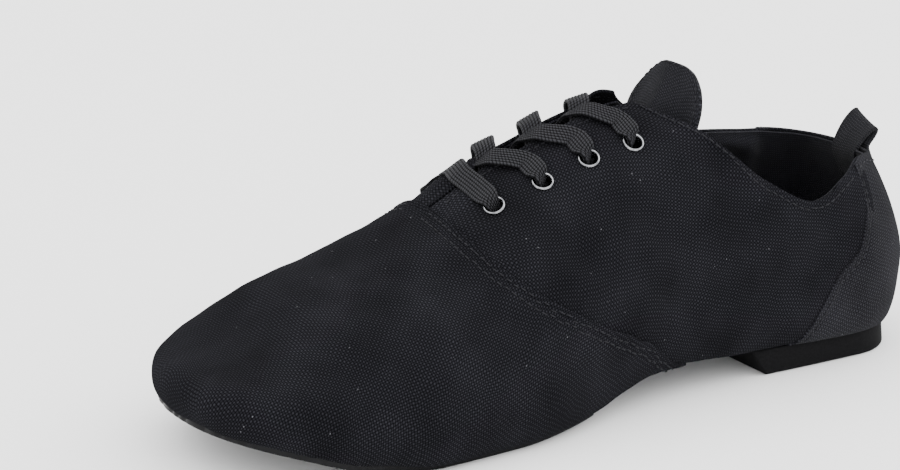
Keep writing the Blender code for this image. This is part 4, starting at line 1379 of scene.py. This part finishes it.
def make_seams():
    """All the topstitching: two rows on the vamp, one on the counter, the hems and the tongue."""
    vamp_rows, counter_rows, hem_rows = [], [], []
    for side, name in ((1, "quarter_outer"), (-1, "quarter_inner")):
        for row in VAMP_ROWS:
            vamp_rows.append((PANELS["vamp"], seam_row(side, "vamp", np.linspace(-0.72, 0.93, 140), row)))
        line = seam_row(side, "counter", np.linspace(-0.72, 0.97, 120), COUNTER_ROW)
        counter_rows.append((PANELS["counter"], line))
        for panel, start, end in ((name, 0.10, 0.37), (name, 0.378, 0.62), ("counter", 0.004, 0.088)):
            hem_rows.append((PANELS[panel], edge_row(side, start, end)))
    points = PANELS["tongue_points"]
    rim = np.concatenate((points[60:-3, 3], points[-4, 4:-4], points[-4:60:-1, -4]))
    make_stitches("vamp_stitches", vamp_rows)
    make_stitches("counter_stitches", counter_rows)
    make_stitches("hem_stitches", hem_rows)
    make_stitches("tongue_stitches", [(PANELS["tongue"], rim)])


# Stage


def make_stage(settings):
    """Pale floor, soft boxes all around and the camera at the photograph's angle."""
    bpy.ops.object.select_all(action="DESELECT")
    bpy.ops.mesh.primitive_plane_add(size=8.0, location=(0, 0, -0.0002))
    floor = bpy.context.object
    floor.name = "pale_floor"
    made, _, _ = shader("pale_paper", Roughness=0.9, Base_Color=linear("#F4F4F4"))
    floor.data.materials.append(made)
    lights = (
        ("key", (-0.9, -1.3, 1.9), 1.6, 12.0),
        ("fill_front", (1.9, -1.6, 0.9), 1.6, 9.0),
        ("back", (0.9, 1.9, 1.2), 1.4, 24.0),
        ("top", (0.2, 0.2, 2.4), 2.0, 10.0),
    )
    for name, place, size, power in lights:
        bpy.ops.object.light_add(type="AREA", location=place)
        light = bpy.context.object
        light.name = name
        light.data.shape = "SQUARE"
        light.data.size = size
        light.data.energy = power * settings.light
        aim = Vector((0, 0, 0.04)) - Vector(place)
        light.rotation_euler = aim.to_track_quat("-Z", "Y").to_euler()
    world = bpy.data.worlds.new("white_room")
    bpy.context.scene.world = world
    world.use_nodes = True
    background = world.node_tree.nodes["Background"]
    background.inputs["Color"].default_value = (1.0, 1.0, 1.0, 1.0)
    background.inputs["Strength"].default_value = 2.8 * settings.light
    bpy.ops.object.camera_add()
    camera = bpy.context.object
    camera.name = "camera"
    azimuth, elevation, distance = math.radians(55.367), math.radians(18.298), 1.0374
    yaw, pitch, roll = (math.radians(a) for a in (-1.6311, -0.5036, -1.1076))
    back = Vector((math.sin(azimuth) * math.cos(elevation), -math.cos(azimuth) * math.cos(elevation),
                   math.sin(elevation)))
    right = Vector((math.cos(azimuth), math.sin(azimuth), 0))
    rows = Matrix((right, back.cross(right), back))
    turn = Matrix.Rotation(roll, 3, "Z") @ Matrix.Rotation(pitch, 3, "X") @ Matrix.Rotation(yaw, 3, "Y") @ rows
    stand = Vector((0, 0, 0.04)) + back * distance
    camera.matrix_world = Matrix.Translation(stand) @ turn.transposed().to_4x4()
    camera.data.sensor_width = 36.0
    camera.data.lens = 132.8
    camera.data.clip_start = 0.05
    bpy.context.scene.camera = camera


# Add-on


class JazzShoeSettings(bpy.types.PropertyGroup):
    """Colours and light that a user would change."""

    # The crowns' colour is the painted highlight on the canvas beads
    canvas: bpy.props.StringProperty(name="Canvas", description="sRGB colour of the canvas threads' crowns",
                                     default="#252529")
    # The ribs' colour is the painted highlight on the lace's crowns
    lace: bpy.props.StringProperty(name="Lace", description="sRGB colour of the lace's ribs", default="#2B2B2E")
    light: bpy.props.FloatProperty(name="Light", description="Strength of the studio light", default=1.0,
                                   min=0.0)


PANELS = {}


class JAZZ_OT_upper(bpy.types.Operator):
    """Make the vamp, the quarters, the counter, the lining and the tongue"""

    bl_idname = "jazz.upper"
    bl_label = "Upper"

    def execute(self, context):
        PANELS["vamp"] = make_vamp()
        PANELS["quarter_outer"] = make_quarter(1)
        PANELS["quarter_inner"] = make_quarter(-1)
        PANELS["counter"] = make_counter()
        make_lining()
        PANELS["tongue"], PANELS["tongue_points"] = make_tongue()
        return {"FINISHED"}


class JAZZ_OT_soles(bpy.types.Operator):
    """Make the forefoot sole, the heel block and the insole"""

    bl_idname = "jazz.soles"
    bl_label = "Soles"

    def execute(self, context):
        make_forefoot_sole()
        make_heel()
        make_insole()
        return {"FINISHED"}


class JAZZ_OT_lacing(bpy.types.Operator):
    """Make the eyelets and run the lace through them"""

    bl_idname = "jazz.lacing"
    bl_label = "Eyelets and lace"

    def execute(self, context):
        make_eyelets()
        make_bar()
        for number in range(EYELETS - 1):
            make_cross(number)
        return {"FINISHED"}


class JAZZ_OT_trim(bpy.types.Operator):
    """Make the pull loop and the topstitching"""

    bl_idname = "jazz.trim"
    bl_label = "Pull loop and stitches"

    def execute(self, context):
        make_pull_loop()
        make_seams()
        return {"FINISHED"}


class JAZZ_OT_stage(bpy.types.Operator):
    """Make the floor, the lights and the camera"""

    bl_idname = "jazz.stage"
    bl_label = "Stage"

    def execute(self, context):
        make_stage(context.scene.jazz_shoe)
        return {"FINISHED"}


class JAZZ_PT_panel(bpy.types.Panel):
    """The shoe's pieces in the sidebar"""

    bl_label = "Jazz Shoe"
    bl_idname = "JAZZ_PT_panel"
    bl_space_type = "VIEW_3D"
    bl_region_type = "UI"
    bl_category = "Shoe"

    def draw(self, context):
        for name in ("canvas", "lace", "light"):
            self.layout.prop(context.scene.jazz_shoe, name)
        for operator in OPERATORS:
            self.layout.operator(operator.bl_idname)


OPERATORS = (JAZZ_OT_stage, JAZZ_OT_upper, JAZZ_OT_soles, JAZZ_OT_lacing, JAZZ_OT_trim)
CLASSES = (JazzShoeSettings,) + OPERATORS + (JAZZ_PT_panel,)


def register():
    for cls in CLASSES:
        bpy.utils.register_class(cls)
    bpy.types.Scene.jazz_shoe = bpy.props.PointerProperty(type=JazzShoeSettings)


def unregister():
    del bpy.types.Scene.jazz_shoe
    for cls in reversed(CLASSES):
        bpy.utils.unregister_class(cls)


def main():
    register()
    bpy.ops.jazz.stage()
    bpy.ops.jazz.upper()
    bpy.ops.jazz.soles()
    bpy.ops.jazz.lacing()
    bpy.ops.jazz.trim()


if __name__ == "__main__":
    main()
